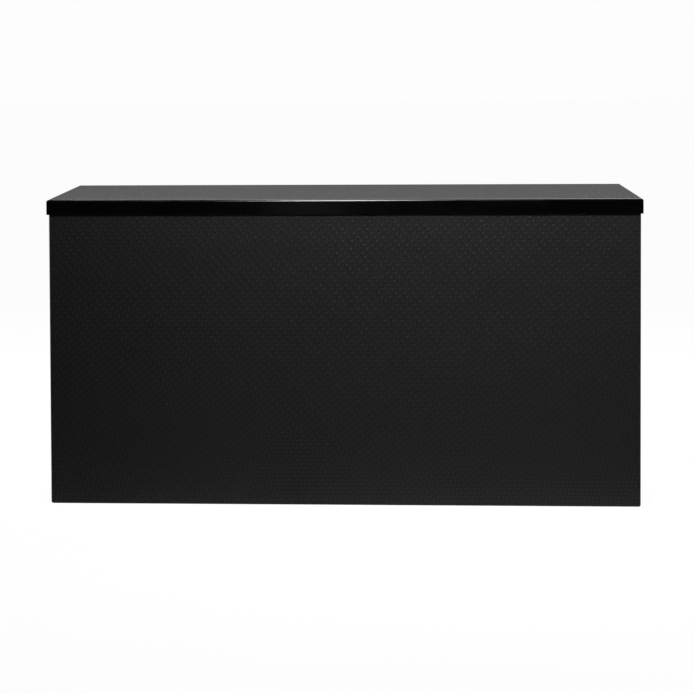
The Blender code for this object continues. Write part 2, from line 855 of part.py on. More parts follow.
def latch_bolt(side, empty):
    """The spring bolt: its nose slopes on top, so the closing lid pushes it back."""
    name = f"latch_bolt_{SIDE_NAMES[side]}"
    bolt = latch_block(
        name, side, (BOLT_BACK, BOLT_NOSE, -BOLT_HALF), (BOLT_FACE, BOLT_TAIL, BOLT_HALF), STAINLESS
    )
    tail_face = PIVOT_V + TAIL_THICK / 2
    lug = latch_block(
        f"{name}_lug",
        side,
        (BOLT_FACE - 0.001, tail_face + BOLT_PLAY, -BOSS_HALF),
        (LUG_TOP, tail_face + BOLT_PLAY + LUG_THICK, BOSS_HALF),
    )
    join(bolt, lug)
    slope = latch_block(f"{name}_slope", side, (-FAR - 0.01, -0.03, 0), (-0.01, 0.03, 0.03))
    slope.data.transform(Matrix.Translation(-spot(side, 0, 0, 0)))
    slope.location = spot(side, 0, BOLT_NOSE + BOLT_SLOPE_LENGTH, BOLT_HALF)
    slope.rotation_euler = (BOLT_SLOPE, 0, 0)
    cut(bolt, slope)
    middle = (BOLT_BACK + BOLT_FACE) / 2
    guide = rod(
        f"latch_guide_rod_{SIDE_NAMES[side]}",
        spot(side, middle, BOLT_TAIL + GAP, 0),
        spot(side, middle, CASE_REAR_V + GUIDE_BEYOND, 0),
        GUIDE_RADIUS,
        ZINC,
        SMALL_SIDES,
    )
    hang(empty, bolt, lug, guide)


def bolt_spring(side, turns=6, turn_steps=10):
    """The coil between the bolt and the case's rear wall."""
    name = f"latch_bolt_spring_{SIDE_NAMES[side]}"
    start = BOLT_TAIL + GAP + COIL_WIRE
    end = CASE_REAR_V - CASE_WALL - GAP - COIL_WIRE
    middle = (BOLT_BACK + BOLT_FACE) / 2
    curve = bpy.data.curves.new(name, "CURVE")
    curve.dimensions = "3D"
    curve.bevel_depth = COIL_WIRE
    curve.bevel_resolution = 2
    curve.use_fill_caps = True
    spline = curve.splines.new("POLY")
    count = turns * turn_steps + 1
    spline.points.add(count - 1)
    for i, point in enumerate(spline.points):
        angle = 2 * math.pi * i / turn_steps
        v = start + (end - start) * i / (count - 1)
        u, w = middle + COIL_RADIUS * math.cos(angle), COIL_RADIUS * math.sin(angle)
        place = spot(side, u, v, w)
        point.co = (*place, 1)
    curve.materials.append(ZINC)
    PARTS.objects.link(bpy.data.objects.new(name, curve))


def lid_catch(side):
    """The plate under the lid whose window the bolt enters."""
    name = f"lid_catch_{SIDE_NAMES[side]}"
    top = LID_UNDER - GAP - LATCH_Z
    half = CATCH_PLATE / 2
    plate = latch_block(
        name, side, (CATCH_FAR, CATCH_V - half, CATCH_LOW), (CATCH_NEAR, CATCH_V + half, top), ZINC
    )
    foot = latch_block(
        f"{name}_foot",
        side,
        (CATCH_FAR, CATCH_V - half, top - CATCH_PLATE),
        (CATCH_NEAR, CATCH_V + CATCH_FOOT, top),
    )
    join(plate, foot)
    window = latch_block(
        f"{name}_window",
        side,
        (BOLT_BACK - CATCH_PLAY, CATCH_V - CATCH_PLATE, -BOLT_HALF - BOLT_PLAY),
        (BOLT_FACE + CATCH_PLAY, CATCH_V + CATCH_PLATE, BOLT_HALF + CATCH_PLAY),
    )
    cut(plate, window)
    return plate


def rivets(side):
    """The blind rivets that hold the dish's flange to the end wall."""
    crown, inside = DISH_FACE + GAP, -SHEET - GAP
    dome = [math.radians(90) * i / 4 for i in range(5)]
    profile = [(RIVET_HEAD * math.sin(a), crown + RIVET_RISE * math.cos(a)) for a in dome]
    profile += [
        (RIVET_SHANK, crown),
        (RIVET_SHANK, inside),
        (RIVET_FOOT, inside),
        (RIVET_FOOT, RIVET_END + STUD_CHAMFER),
        (RIVET_FOOT / 2, RIVET_END),
        (0, RIVET_END),
    ]
    for i, (v, w) in enumerate(rivet_spots(), 1):
        rivet = turned(f"dish_rivet_{SIDE_NAMES[side]}_{i}", profile, ZINC, SMALL_SIDES)
        rivet.location = spot(side, 0, v, w)
        rivet.rotation_euler = (0, side * math.pi / 2, 0)


def end_latch(side, panel):
    name = SIDE_NAMES[side]
    holes = rivet_holes(f"rivet_holes_{name}", side)
    latch_opening(side, panel, holes)
    latch_gasket(side, holes)
    latch_dish(side, holes)
    paddle_axis = pivot(f"pivot_paddle_{name}", spot(side, PIVOT_U, PIVOT_V, 0))
    latch_paddle(side, paddle_axis)
    paddle_pin(side)
    lock_axis = pivot(f"pivot_lock_{name}", spot(side, PIVOT_U, LOCK_V, 0))
    latch_lock(side, lock_axis)
    latch_case(side)
    bolt_axis = pivot(f"pivot_bolt_{name}", spot(side, BOLT_FACE, PIVOT_V, 0))
    latch_bolt(side, bolt_axis)
    bolt_spring(side)
    rivets(side)


def main():
    body_wrap()
    rim_seal()
    front = lid_stiffener("lid_stiffener_front", -STIFFENER_Y)
    rear = lid_stiffener("lid_stiffener_rear", STIFFENER_Y)
    _, lid_leaf = hinge_leaves()
    hinge_pin()
    lid_axis = pivot("pivot_lid", (0, HINGE_Y, HINGE_Z))
    lid_pieces = [lid_skin(), lid_leaf, front, rear]
    for side in (LEFT, RIGHT):
        panel = end_panel(side)
        end_latch(side, panel)
        lid_pieces += [*gas_spring(side), lid_catch(side)]
    for piece in lid_pieces:
        piece.parent = lid_axis
        piece.matrix_parent_inverse = Matrix.Translation(-lid_axis.location)


main()
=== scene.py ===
"""Looks of the truck tool box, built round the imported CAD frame.

Metres, +Z up, in the CAD's own frame: the front wall faces -Y, +X runs along the width, and the
origin is the centre of the floor's underside.
"""

import itertools
import json
import math

import bmesh
import bpy
import numpy as np
from mathutils import Matrix, Vector


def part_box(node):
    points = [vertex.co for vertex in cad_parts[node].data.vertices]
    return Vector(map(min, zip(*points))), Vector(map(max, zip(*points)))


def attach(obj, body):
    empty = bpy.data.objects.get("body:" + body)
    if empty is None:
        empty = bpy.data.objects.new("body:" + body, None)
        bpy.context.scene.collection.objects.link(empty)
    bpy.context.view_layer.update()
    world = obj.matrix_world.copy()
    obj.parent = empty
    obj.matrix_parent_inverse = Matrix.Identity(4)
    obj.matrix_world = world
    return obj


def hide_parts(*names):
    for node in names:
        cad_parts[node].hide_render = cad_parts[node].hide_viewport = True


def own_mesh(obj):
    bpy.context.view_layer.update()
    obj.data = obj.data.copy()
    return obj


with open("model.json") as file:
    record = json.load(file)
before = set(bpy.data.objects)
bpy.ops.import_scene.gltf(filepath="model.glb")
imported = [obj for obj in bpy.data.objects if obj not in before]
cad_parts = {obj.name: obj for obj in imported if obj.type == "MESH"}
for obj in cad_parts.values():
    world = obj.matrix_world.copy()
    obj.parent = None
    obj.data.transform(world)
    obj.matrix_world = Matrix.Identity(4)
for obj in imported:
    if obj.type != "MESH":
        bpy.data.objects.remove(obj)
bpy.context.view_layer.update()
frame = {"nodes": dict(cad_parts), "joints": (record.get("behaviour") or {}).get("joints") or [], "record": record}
JOINTS = {joint["name"]: joint for joint in frame["joints"]}
PIVOTS = {name: Vector(joint["pos_m"]) for name, joint in JOINTS.items() if "pos_m" in joint}

# Sheet metal
SHEET = 0.0016
BEND = 0.004
BEND_STEPS = 8
BOX_STEPS = 6
RIM = 0.025
RIM_LIP = 0.014
LID_BEND = 0.0048
CHANNEL_SHEET = 0.0012
CHANNEL_BEND = 0.002
CHANNEL_WEB = 0.025
GAP = 0.0003
FAR = 0.01
SIDES = ((-1, "left"), (1, "right"))

# Places on the body, from the CAD
WALL_X, WALL_Y, RIM_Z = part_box("body_wrap")[1]
END_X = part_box("end_panel_right")[1].x
HINGE_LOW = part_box("hinge_leaf_body")[0].z
PIN_START, PIN_STOP = (corner.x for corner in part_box("hinge_pin"))
EDGE = 0.0005
LEAF_CLEAR = 0.002
FOOT_STRIP = 0.006
FLOOR_SEAM = 0.05

# Embossing: pips and dimples alternate over a slightly sheared grid. Each pip has a crown, and an
# oval ring round it that is a fine groove.
PIP_COLUMN = 0.00881
PIP_ROW = 0.00824
PIP_SHEAR = 0.00192
PIP_SHARPNESS = 1.4
PIP_DEPTH = 0.00045
PIP_FADE = 0.005
SAMPLES = 3
END_CLEAR = 0.35
STOP_CLEAR = 0.2
RING_HALF_WIDTH = 0.006
RING_HALF_HEIGHT = 0.004
RING_BAND = 0.28
RING_SHARE = 0.8
CROWN_REACH = 0.4
FINE_DEPTH = 0.0002
SLAB_STEP = 0.00005
SLAB_BACK = 0.0005
SLACK_HEIGHT = 0.0008
SLACK_EDGE = 0.08

# The body's paint
BODY_BLACK = ((0.007, 0.007, 0.0074), (0.011, 0.011, 0.0114))
BODY_ROUGH = (0.5, 0.43)
BODY_GRAIN_ROUGH = (-0.03, 0.03)
BODY_GRAIN_DEPTH = 0.00003
BODY_WAVE_DEPTH = 0.0012
BODY_SHEEN = 0.53
# A painted highlight on each pip's crown and painted shade in its ring groove, as steps of the specular level
CROWN_PAINTED_HIGHLIGHT = 0.02
RING_PAINTED_SHADE = 0.28
DUST = (0.05, 0.05, 0.05, 1)
DUST_SPAN = (0.775, 0.8)

# Coats: clouds (size, detail, stretch), the two tones and the clouds' span for them, the two
# roughnesses and the span for them, and the (size, detail, depth) of bumps, finest first
MIDDLE_SPAN = (0.3, 0.7)
COATS = {
    "lid_gloss_paint": {
        "clouds": (0.05, 4, (0.5, 1.4, 1.4)),
        "tones": ((0.001, 0.001, 0.0011), (0.002, 0.002, 0.0021), (0.4, 0.8)),
        "rough": (0.12, 0.17, (0.35, 0.75)),
        "relief": ((0.0016, 1, 0.000003), (0.13, 1, 0.00012)),
    },
    # Satin roughness, with a black lighter than the lid's gloss: painted light, so that the lid's underside,
    # stiffeners and inside welds show in shade
    "satin_painted_light": {
        "clouds": (0.07, 3),
        "tones": ((0.011, 0.011, 0.0115), (0.018, 0.018, 0.0185), MIDDLE_SPAN),
        "rough": (0.5, 0.36, MIDDLE_SPAN),
        "relief": ((0.0012, 2, 0.00002),),
    },
    "spring_lacquer": {
        "clouds": (0.009, 4),
        "tones": ((0.012, 0.012, 0.012), (0.018, 0.018, 0.018), (0.5, 0.8)),
        "rough": (0.2, 0.3, (0.45, 0.75)),
        "relief": ((0.001, 1, 0.00001),),
    },
    "seal_rubber": {
        "clouds": (0.02, 4),
        "tones": ((0.014, 0.014, 0.014), (0.032, 0.031, 0.03), (0.45, 0.75)),
        "rough": (0.62, 0.85, (0.3, 0.8)),
        "relief": ((0.0007, 3, 0.00004),),
    },
    "moulded_plastic": {
        "clouds": (0.015, 2),
        "tones": ((0.016, 0.016, 0.016), (0.026, 0.026, 0.026), MIDDLE_SPAN),
        "rough": (0.42, 0.56, MIDDLE_SPAN),
        "relief": ((0.0005, 2, 0.00002),),
    },
    "chrome_plate": {
        "clouds": (0.012, 3),
        "tones": ((0.8, 0.8, 0.82), (0.62, 0.61, 0.6), (0.4, 0.8)),
        "rough": (0.05, 0.14, (0.4, 0.8)),
        "metallic": 1.0,
    },
}

# Marks and rivet heads: radius and rise
WELD = (0.003, 0.0004)
HINGE_RIVET = (0.0036, 0.0013)
PLATE_RIVET = (0.0042, 0.0016)
FOOT_RIVET = (0.004, 0.0016)
SINK = 0.0003
BUTTON_STEPS = 20
TURN_STEPS = 48

# Rows of welds and rivets
WELD_PITCH = 0.062
WELD_ROW = 9
WELD_LOWEST = 0.035
WELD_INSET = 0.012
CHANNEL_WELDS = 9
HINGE_RIVETS = 12
HINGE_RIVET_RISE = 0.01
RIVET_INSET = 0.008
BRACKET_RIVET_INSET = 0.012
BRACKET_FOOT = 0.0025
CATCH_RIVET_INSET = 0.009
CATCH_FOOT = 0.003

# The rim's seal: its foot as (inset, rise), its bulb, and its crown flattened by the lid
SEAL_WIDTH = 0.012
SEAL_CORNER = 0.02
SEAL_FOOT = ((0.0, 0.0), (0.0, 0.0012), (0.0008, 0.0024), (0.0022, 0.003), (0.0024, 0.0044))
BULB_INSET = 0.0002
BULB_MIDDLE = 0.6
BULB_HEIGHT = 0.36
BULB_ARC = (-48, 58, 10)
SEAL_FLAT = ((0.42, 0.0003), (0.25, 0.0))

# The hinge
LEAF = 0.0015
KNUCKLE = 0.0035
KNUCKLES = 24
KNUCKLE_CLEAR = 0.001
CURL = 300
CURL_STEPS = 28
PIN = 0.0016
PIN_END = ((0.0, 0.0), (0.7, 0.0001), (1.0, 0.0006))

# Gas springs: outlines as (radius, distance) from a foot, a mouth or a tip
SPRING_FOOT = 0.0163
CYLINDER_MOUTH = 0.291
ROD_TIP = 0.316
CYLINDER_FOOT_LINE = ((0, 0), (0.008, 0), (0.0096, 0.0005), (0.0107, 0.0018), (0.011, 0.0035))
CYLINDER_NECK_LINE = (
    (0.011, -0.017), (0.0106, -0.016), (0.0101, -0.015), (0.0101, -0.014), (0.0106, -0.013),
    (0.011, -0.012), (0.011, -0.0028), (0.0106, -0.0012), (0.0098, -0.0003), (0.009, 0),
    (0.0049, 0), (0.0046, -0.0004), (0.0046, -0.004), (0.0093, -0.004),
)
CYLINDER_HOLLOW_LINE = ((0.0093, 0.004), (0, 0.004))
ROD_FOOT_LINE = (
    (0, 0), (0.0058, 0), (0.0062, 0.0005), (0.0062, 0.004), (0.0058, 0.0045), (0.004, 0.0045),
)
ROD_TIP_LINE = ((0.004, -0.0005), (0.0036, 0), (0, 0))
SOCKET_LINE = ((0, -0.006), (0.0083, -0.006), (0.0092, -0.0056), (0.0095, -0.0046))
SOCKET_NECK_LINE = (
    (0, 0.005), (0.006, 0.005), (0.006, 0.0125), (0.0057, 0.015), (0.005, 0.016), (0, 0.016),
)
SOCKET_BORE = 0.0044
SOCKET_REACH = 0.02
STUD_FOOT = 0.0065
STUD_SHANK = 0.004
STUD_GRIP = 0.0126
STUD_NECK = 0.0058
STUD_HEAD = 0.0025
STUD_ROUND = (0.005, 0.001, 0.0015)
PLATE_CORNER = 0.007

# Latches
DISH_RIVET_CROWN = 0.0013
DISH_RIVET_LINE = (
    (0.0024, -0.0031), (0.0042, -0.0031), (0.0042, -0.001), (0.0021, 0), (0, 0),
)
LOCK_FACE_LINE = (
    (0, 0.0005), (0.0052, 0.0005), (0.0055, 0.0001), (0.0068, 0), (0.0073, 0.0002),
    (0.0075, 0.0007), (0.0075, 0.0188), (0.0032, 0.0188),
)
KEY_SLOT = (0.0035, 0.0006, 0.0038)
KEY_SLOT_CLEAR = 0.002
COIL_WIRE = 0.0006
COIL_WIRE_SIDES = 8
COIL_TURNS = 6
COIL_STEPS = 20

# Broken edges
ROUNDING = 0.0004
FINE_ROUNDING = 0.0002
LID_ROUNDING = 0.0005
SEAL_ROUNDING = 0.0003
ROUNDED_ABOVE = math.radians(40)
SMOOTH_UNDER = 50
SMOOTH_CURL = 35
SMOOTH_TURNED = 30

# The floor. Greys are what light rays find, with spans in metres from the walls: a bright strip
# round the foot, dimmer near the body and darkest in front, brighter behind and to the sides.
FLOOR_REACH = 40
FLOOR_GLOW = 0.97
FLOOR_LIT = 0.05
FLOOR_NEAR = 0.2
FLOOR_NEAR_SPAN = (0.05, 0.6)
FLOOR_FAR = 0.08
FLOOR_BACK = 0.6
FLOOR_BACK_SPAN = (0, 0.5)
FLOOR_STRIP = 0.35
FLOOR_STRIP_SPAN = (0.005, 0.07)
FLOOR_CLEAR = 0.5
FLOOR_CLEAR_SLOPE = 0.5

# The world: white to the camera, greys to all else, with spans along the ray's direction
WHITE = 0.98
FRONT_GREY = 0.02
BACK_GREY = 0.15
BAND_GREY = 0.21
HIGH_GREY = 0.02
SIDE_GREY = 0.32
BAND_SPAN = (0.08, 0.12)
BACK_SPAN = (-0.5, 0.7)
HIGH_SPAN = (0.14, 0.22)
SIDE_SPAN = (0.45, 0.85)

# Lamps: place, target, size and watts. Four also give their spread in degrees, and whether
# reflections show them.
LAMPS = {
    "key_box": ((-0.06, -1.76, 2.15), (0.38, -0.31, 0.5), (0.34, 1.0), 9.0, 80, True),
    "fill_box": ((0.42, -1.15, 1.55), (0.34, -0.3, 0.5), (0.6, 0.5), 6.8, 180, False),
    "low_box": ((-0.16, -3.4, 0.42), (-0.16, 0, 0.42), (0.22, 0.5), 0.055),
    "right_box": ((2.6, -2.2, 1.5), (0, 0, 0.3), (1.2, 1.2), 5.6),
    "left_box": ((-3.2, -1.8, 1.5), (0, 0, 0.3), (1.8, 1.6), 1.8),
    "rear_box": ((0.1, 2.6, 2.2), (0, 0, 0.3), (2.4, 1.4), 28),
    "rear_fill": ((0.1, 2.6, 2.2), (0, 0, 0.3), (2.4, 1.4), 40, 180, False),
    "top_fill": ((0, 0, 2.6), (0, 0, 0), (1.1, 0.5), 8, 20, False),
    "left_end_box": ((-2.6, 0.7, 1.7), (-0.6, 0.1, 0.3), (1.4, 1.2), 20),
    "right_end_box": ((2.6, 0.7, 1.7), (0.6, 0.1, 0.3), (1.4, 1.2), 10),
}

# The camera: lens and sensor in millimetres, shift in frame widths, the rest metres and radians
SENSOR = 36
CLIP = (0.05, 200)
CAMERA_LENS = 149.64
CAMERA_PLACE = (0.11238, -6.25621, 0.95946)
CAMERA_YAW = -0.0873
CAMERA_PITCH = -0.05113
CAMERA_ROLL = -0.0074
CAMERA_SHIFT = (0.29133, -0.22519)


# Materials --------------------


class Nodes:
    """Short calls for building the nodes of a material or a world. Sizes are in metres."""

    def __init__(self, block):
        block.use_nodes = True
        self.block = block
        self.tree = block.node_tree
        self.coordinates = self.add("ShaderNodeTexCoord").outputs

    def feed(self, socket, value):
        if isinstance(value, bpy.types.NodeSocket):
            self.tree.links.new(value, socket)
        else:
            socket.default_value = value

    def add(self, kind, inputs=None, **settings):
        node = self.tree.nodes.new(kind)
        for key, value in settings.items():
            setattr(node, key, value)
        for key, value in (inputs or {}).items():
            self.feed(node.inputs[key], value)
        return node

    def maths(self, operation, *values):
        inputs = dict(enumerate(values))
        return self.add("ShaderNodeMath", inputs, operation=operation).outputs[0]

    def parts(self, vector):
        return self.add("ShaderNodeSeparateXYZ", {0: vector}).outputs

    def noise(self, size, detail, stretch=None):
        place = self.coordinates["Object"]
        if stretch is not None:
            node = self.add("ShaderNodeVectorMath", {0: place, 1: stretch}, operation="MULTIPLY")
            place = node.outputs[0]
        inputs = {"Vector": place, "Scale": 1 / size, "Detail": detail}
        return self.add("ShaderNodeTexNoise", inputs).outputs[0]

    def spread(self, value, span, start=0.0, end=1.0, **settings):
        low, high = span
        inputs = {"Value": value, "From Min": low, "From Max": high, "To Min": start, "To Max": end}
        return self.add("ShaderNodeMapRange", inputs, **settings).outputs["Result"]

    def smooth(self, value, span, start=0.0, end=1.0):
        return self.spread(value, span, start, end, interpolation_type="SMOOTHSTEP")

    def blend(self, share, first, second):
        inputs = {0: share, 6: (*first, 1), 7: (*second, 1)}
        return self.add("ShaderNodeMix", inputs, data_type="RGBA").outputs[2]

    def between(self, share, first, second):
        return self.add("ShaderNodeMix", {0: share, 2: first, 3: second}).outputs[0]

    def bump(self, height, distance, under=None):
        inputs = {"Height": height, "Distance": distance}
        if under is not None:
            inputs["Normal"] = under
        return self.add("ShaderNodeBump", inputs).outputs["Normal"]

    def finish(self, **inputs):
        """Sets the inputs of the material's shader, with _ for a space, and gives the material."""
        for key, value in inputs.items():
            self.feed(self.tree.nodes["Principled BSDF"].inputs[key.replace("_", " ")], value)
        return self.block

    def surface(self, seen, unseen):
        """Shows one shader to the camera, and the other to every other ray."""
        camera = self.add("ShaderNodeLightPath").outputs["Is Camera Ray"]
        inputs = {0: camera, 1: unseen.outputs[0], 2: seen.outputs[0]}
        mix = self.add("ShaderNodeMixShader", inputs)
        output = next(node for node in self.tree.nodes if node.type.startswith("OUTPUT"))
        self.tree.links.new(mix.outputs[0], output.inputs["Surface"])


def new_nodes(name):
    return Nodes(bpy.data.materials.new(name))


def pip_pattern(nodes, along, down):
    """The embossing's fine shape as two masks, 0 to 1: the crown of each pip, and its ring. along
    is the (axis, sign) of s on this wall, and down the (axis, sign, start) of t."""
    parts = nodes.parts(nodes.coordinates["Object"])
    across = nodes.maths("MULTIPLY", parts[along[0]], along[1])
    depth = nodes.maths("SUBTRACT", parts[down[0]], down[2])
    rows = nodes.maths("DIVIDE", depth, down[1] * PIP_ROW)
    first = nodes.maths("FLOOR", rows)
    reaches = []
    for row in (first, nodes.maths("ADD", first, 1.0)):
        shift = nodes.maths("MULTIPLY", row, PIP_COLUMN - PIP_SHEAR)
        columns = nodes.maths("DIVIDE", nodes.maths("SUBTRACT", across, shift), 2 * PIP_COLUMN)
        share = nodes.maths("FRACT", nodes.maths("ADD", columns, 0.5))
        share = nodes.maths("SUBTRACT", share, 0.5)
        wide = nodes.maths("MULTIPLY", share, 2 * PIP_COLUMN / RING_HALF_WIDTH)
        high = nodes.maths("SUBTRACT", rows, row)
        high = nodes.maths("MULTIPLY", high, PIP_ROW / RING_HALF_HEIGHT)
        squares = [nodes.maths("MULTIPLY", v, v) for v in (wide, high)]
        reaches.append(nodes.maths("SQRT", nodes.maths("ADD", *squares)))
    reach = nodes.maths("MINIMUM", *reaches)
    crown = nodes.smooth(reach, (0, CROWN_REACH), 1, 0)
    off_ring = nodes.maths("ABSOLUTE", nodes.maths("SUBTRACT", reach, 1.0))
    return crown, nodes.smooth(off_ring, (0, RING_BAND), 1, 0)


def body_paint(name, along, down):
    """Black semi-gloss powder coat over embossed sheet, a little uneven as big panels are."""
    nodes = new_nodes(name)
    cloud = nodes.noise(0.16, 2.5)
    grain = nodes.noise(0.0009, 2)
    dust = nodes.spread(nodes.noise(0.004, 1), DUST_SPAN)
    base = nodes.blend(nodes.spread(cloud, MIDDLE_SPAN), *BODY_BLACK)
    base = nodes.add("ShaderNodeMix", {0: dust, 6: base, 7: DUST}, data_type="RGBA").outputs[2]
    rough = nodes.spread(cloud, MIDDLE_SPAN, *BODY_ROUGH)
    rough = nodes.maths("ADD", rough, nodes.spread(grain, MIDDLE_SPAN, *BODY_GRAIN_ROUGH))
    crown, ring = pip_pattern(nodes, along, down)
    fine = nodes.bump(grain, BODY_GRAIN_DEPTH)
    pips = nodes.bump(nodes.maths("MULTIPLY_ADD", ring, -RING_SHARE, crown), FINE_DEPTH, fine)
    wave = nodes.bump(nodes.noise(0.11, 1), BODY_WAVE_DEPTH, pips)
    # Painted highlight on the pip crowns and painted shade in the ring grooves, through the specular level
    sheen_with_painted_light = nodes.maths("MULTIPLY_ADD", crown, CROWN_PAINTED_HIGHLIGHT, BODY_SHEEN)
    sheen_with_painted_light = nodes.maths("MULTIPLY_ADD", ring, -RING_PAINTED_SHADE, sheen_with_painted_light)
    return nodes.finish(Base_Color=base, Roughness=rough, Specular_IOR_Level=sheen_with_painted_light, Normal=wave)


def coat(name, kind=None):
    """A finish that drifts between two tones and two roughnesses, from COATS by kind or name."""
    numbers = COATS[kind or name]
    nodes = new_nodes(name)
    cloud = nodes.noise(*numbers["clouds"])
    first, second, span = numbers["tones"]
    base = nodes.blend(nodes.spread(cloud, span), first, second)
    start, end, span = numbers["rough"]
    rough = nodes.spread(cloud, span, start, end)
    inputs = {}
    for size, detail, depth in numbers.get("relief", ()):
        fine = inputs.get("Normal")
        inputs["Normal"] = nodes.bump(nodes.noise(size, detail), depth, fine)
    metallic = numbers.get("metallic", 0.0)
    return nodes.finish(Base_Color=base, Roughness=rough, Metallic=metallic, **inputs)


def brushed_stainless():
    """Fine streaks along Y, and a few faint stains."""
    nodes = new_nodes("brushed_stainless")
    streaks = nodes.noise(0.0005, 4, (1, 0.02, 1))
    stain = nodes.spread(nodes.noise(0.03, 3), (0.4, 0.8), 0, 0.08)
    base = nodes.blend(nodes.spread(streaks, MIDDLE_SPAN), (0.54, 0.54, 0.53), (0.66, 0.66, 0.64))
    gloss = nodes.maths("ADD", nodes.spread(streaks, MIDDLE_SPAN, 0.25, 0.34), stain)
    normal = nodes.bump(streaks, 0.000004)
    return nodes.finish(Base_Color=base, Metallic=1.0, Roughness=gloss, Normal=normal)


def zinc_plate():
    """Zinc-plated steel, its flakes and clouds mixed into one tone."""
    nodes = new_nodes("zinc_plated_steel")
    inputs = {"Vector": nodes.coordinates["Object"], "Scale": 260}
    flake = nodes.parts(nodes.add("ShaderNodeTexVoronoi", inputs).outputs["Color"])[0]
    tone = nodes.maths("MULTIPLY_ADD", flake, 0.35, nodes.noise(0.02, 4))
    tone_span = (0.3, 1.0)
    base = nodes.blend(nodes.spread(tone, tone_span), (0.36, 0.37, 0.39), (0.62, 0.63, 0.64))
    rough = nodes.spread(tone, tone_span, 0.42, 0.26)
    normal = nodes.bump(nodes.noise(0.0014, 3), 0.00002)
    return nodes.finish(Base_Color=base, Metallic=1.0, Roughness=rough, Normal=normal)


FINISHES = {
    "stainless": brushed_stainless(),
    "zinc": zinc_plate(),
    "chrome": coat("chrome_plate"),
    "spring_paint": coat("spring_lacquer"),
    "rubber": coat("seal_rubber"),
    "plastic": coat("moulded_plastic"),
    # The stiffeners and inside welds take the satin coat, its lighter black painted light
    "lid_paint": coat("stiffener_painted_light", "satin_painted_light"),
    "inner_paint": coat("inner_paint", "satin_painted_light"),
}


# Mesh helpers --------------------


def placed(name, data):
    """A new object in the scene."""
    obj = bpy.data.objects.new(name, data)
    bpy.context.scene.collection.objects.link(obj)
    return obj


def from_bmesh(name, bm):
    mesh = bpy.data.meshes.new(name)
    bm.to_mesh(mesh)
    bm.free()
    return placed(name, mesh)


def mesh_object(name, verts, faces, smooth_under=SMOOTH_UNDER):
    """An object from plain lists, its faces turned outwards, and smooth where they meet at less
    than smooth_under degrees."""
    mesh = bpy.data.meshes.new(name)
    mesh.from_pydata([tuple(v) for v in verts], [], faces)
    bm = bmesh.new()
    bm.from_mesh(mesh)
    bmesh.ops.recalc_face_normals(bm, faces=bm.faces)
    bm.to_mesh(mesh)
    bm.free()
    shade(mesh, smooth_under)
    return placed(name, mesh)


def shade(mesh, smooth_under=SMOOTH_UNDER):
    mesh.shade_smooth()
    mesh.set_sharp_from_angle(angle=math.radians(smooth_under))


def baked(obj):
    """Applies obj's modifiers to a mesh of its own."""
    graph = bpy.context.evaluated_depsgraph_get()
    mesh = bpy.data.meshes.new_from_object(obj.evaluated_get(graph), depsgraph=graph)
    mesh.name = obj.name
    obj.modifiers.clear()
    obj.data = mesh
    shade(mesh)


def combine(obj, operation, other):
    """Joins or cuts obj with another closed object, which is used up."""
    modifier = obj.modifiers.new("combine", "BOOLEAN")
    modifier.operation = operation
    modifier.solver = "MANIFOLD"
    modifier.object = other
    baked(obj)
    bpy.data.objects.remove(other)


def weighted(obj):
    """Face-weighted normals, so that flat faces stay flat beside their bends."""
    modifier = obj.modifiers.new("normals", "WEIGHTED_NORMAL")
    modifier.keep_sharp = True
    modifier.weight = 100
    return obj


def rounded_edges(obj, width, segments=2):
    bevel = obj.modifiers.new("edges", "BEVEL")
    bevel.width, bevel.segments = width, segments
    bevel.limit_method, bevel.angle_limit = "ANGLE", ROUNDED_ABOVE
    return obj


def softened(obj, width):
    """Breaks the sharp edges of a faceted mesh."""
    obj.modifiers.new("weld", "WELD").merge_threshold = 0.00001
    return weighted(rounded_edges(obj, width))


def painted(obj, material):
    """Gives a piece its one material."""
    obj.data.materials.clear()
    obj.data.materials.append(material)
    return obj


def block(name, low, high):
    corners = list(itertools.product(*zip(low, high)))
    faces = [(0, 1, 3, 2), (4, 6, 7, 5), (0, 4, 5, 1), (2, 3, 7, 6), (0, 2, 6, 4), (1, 5, 7, 3)]
    return mesh_object(name, corners, faces)


def rounded_box(name, low, high, radius, chosen):
    """A box with the edges that chosen(middle, direction) names rounded to radius."""
    obj = block(name, low, high)
    bm = bmesh.new()
    bm.from_mesh(obj.data)
    edges = []
    for edge in bm.edges:
        start, end = (v.co for v in edge.verts)
        if chosen((start + end) / 2, (end - start).normalized()):
            edges.append(edge)
    bmesh.ops.bevel(
        bm, geom=edges, offset=radius, segments=BOX_STEPS, profile=0.5, affect="EDGES"
    )
    bm.to_mesh(obj.data)
    bm.free()
    shade(obj.data)
    return obj


def closed_copy(node, name):
    """A copy of a CAD node's mesh with its doubled corner points merged."""
    bm = bmesh.new()
    bm.from_mesh(node.data)
    bmesh.ops.remove_doubles(bm, verts=bm.verts, dist=1e-6)
    return from_bmesh(name, bm)


def bent(points, radius, steps=BEND_STEPS):
    """The points of a line in a plane, with each inner corner rounded to radius."""
    points = [Vector(p) for p in points]
    line = [points[0]]
    for before, corner, after in zip(points, points[1:], points[2:]):
        back, ahead = (before - corner).normalized(), (after - corner).normalized()
        half = back.angle(ahead) / 2
        centre = corner + (back + ahead).normalized() * radius / math.sin(half)
        start = corner + back * radius / math.tan(half) - centre
        end = corner + ahead * radius / math.tan(half) - centre
        sweep = math.pi - 2 * half
        for i in range(steps + 1):
            share = i / steps
            arm = start * math.sin((1 - share) * sweep) + end * math.sin(share * sweep)
            line.append(centre + arm / math.sin(sweep))
    line.append(points[-1])
    return line


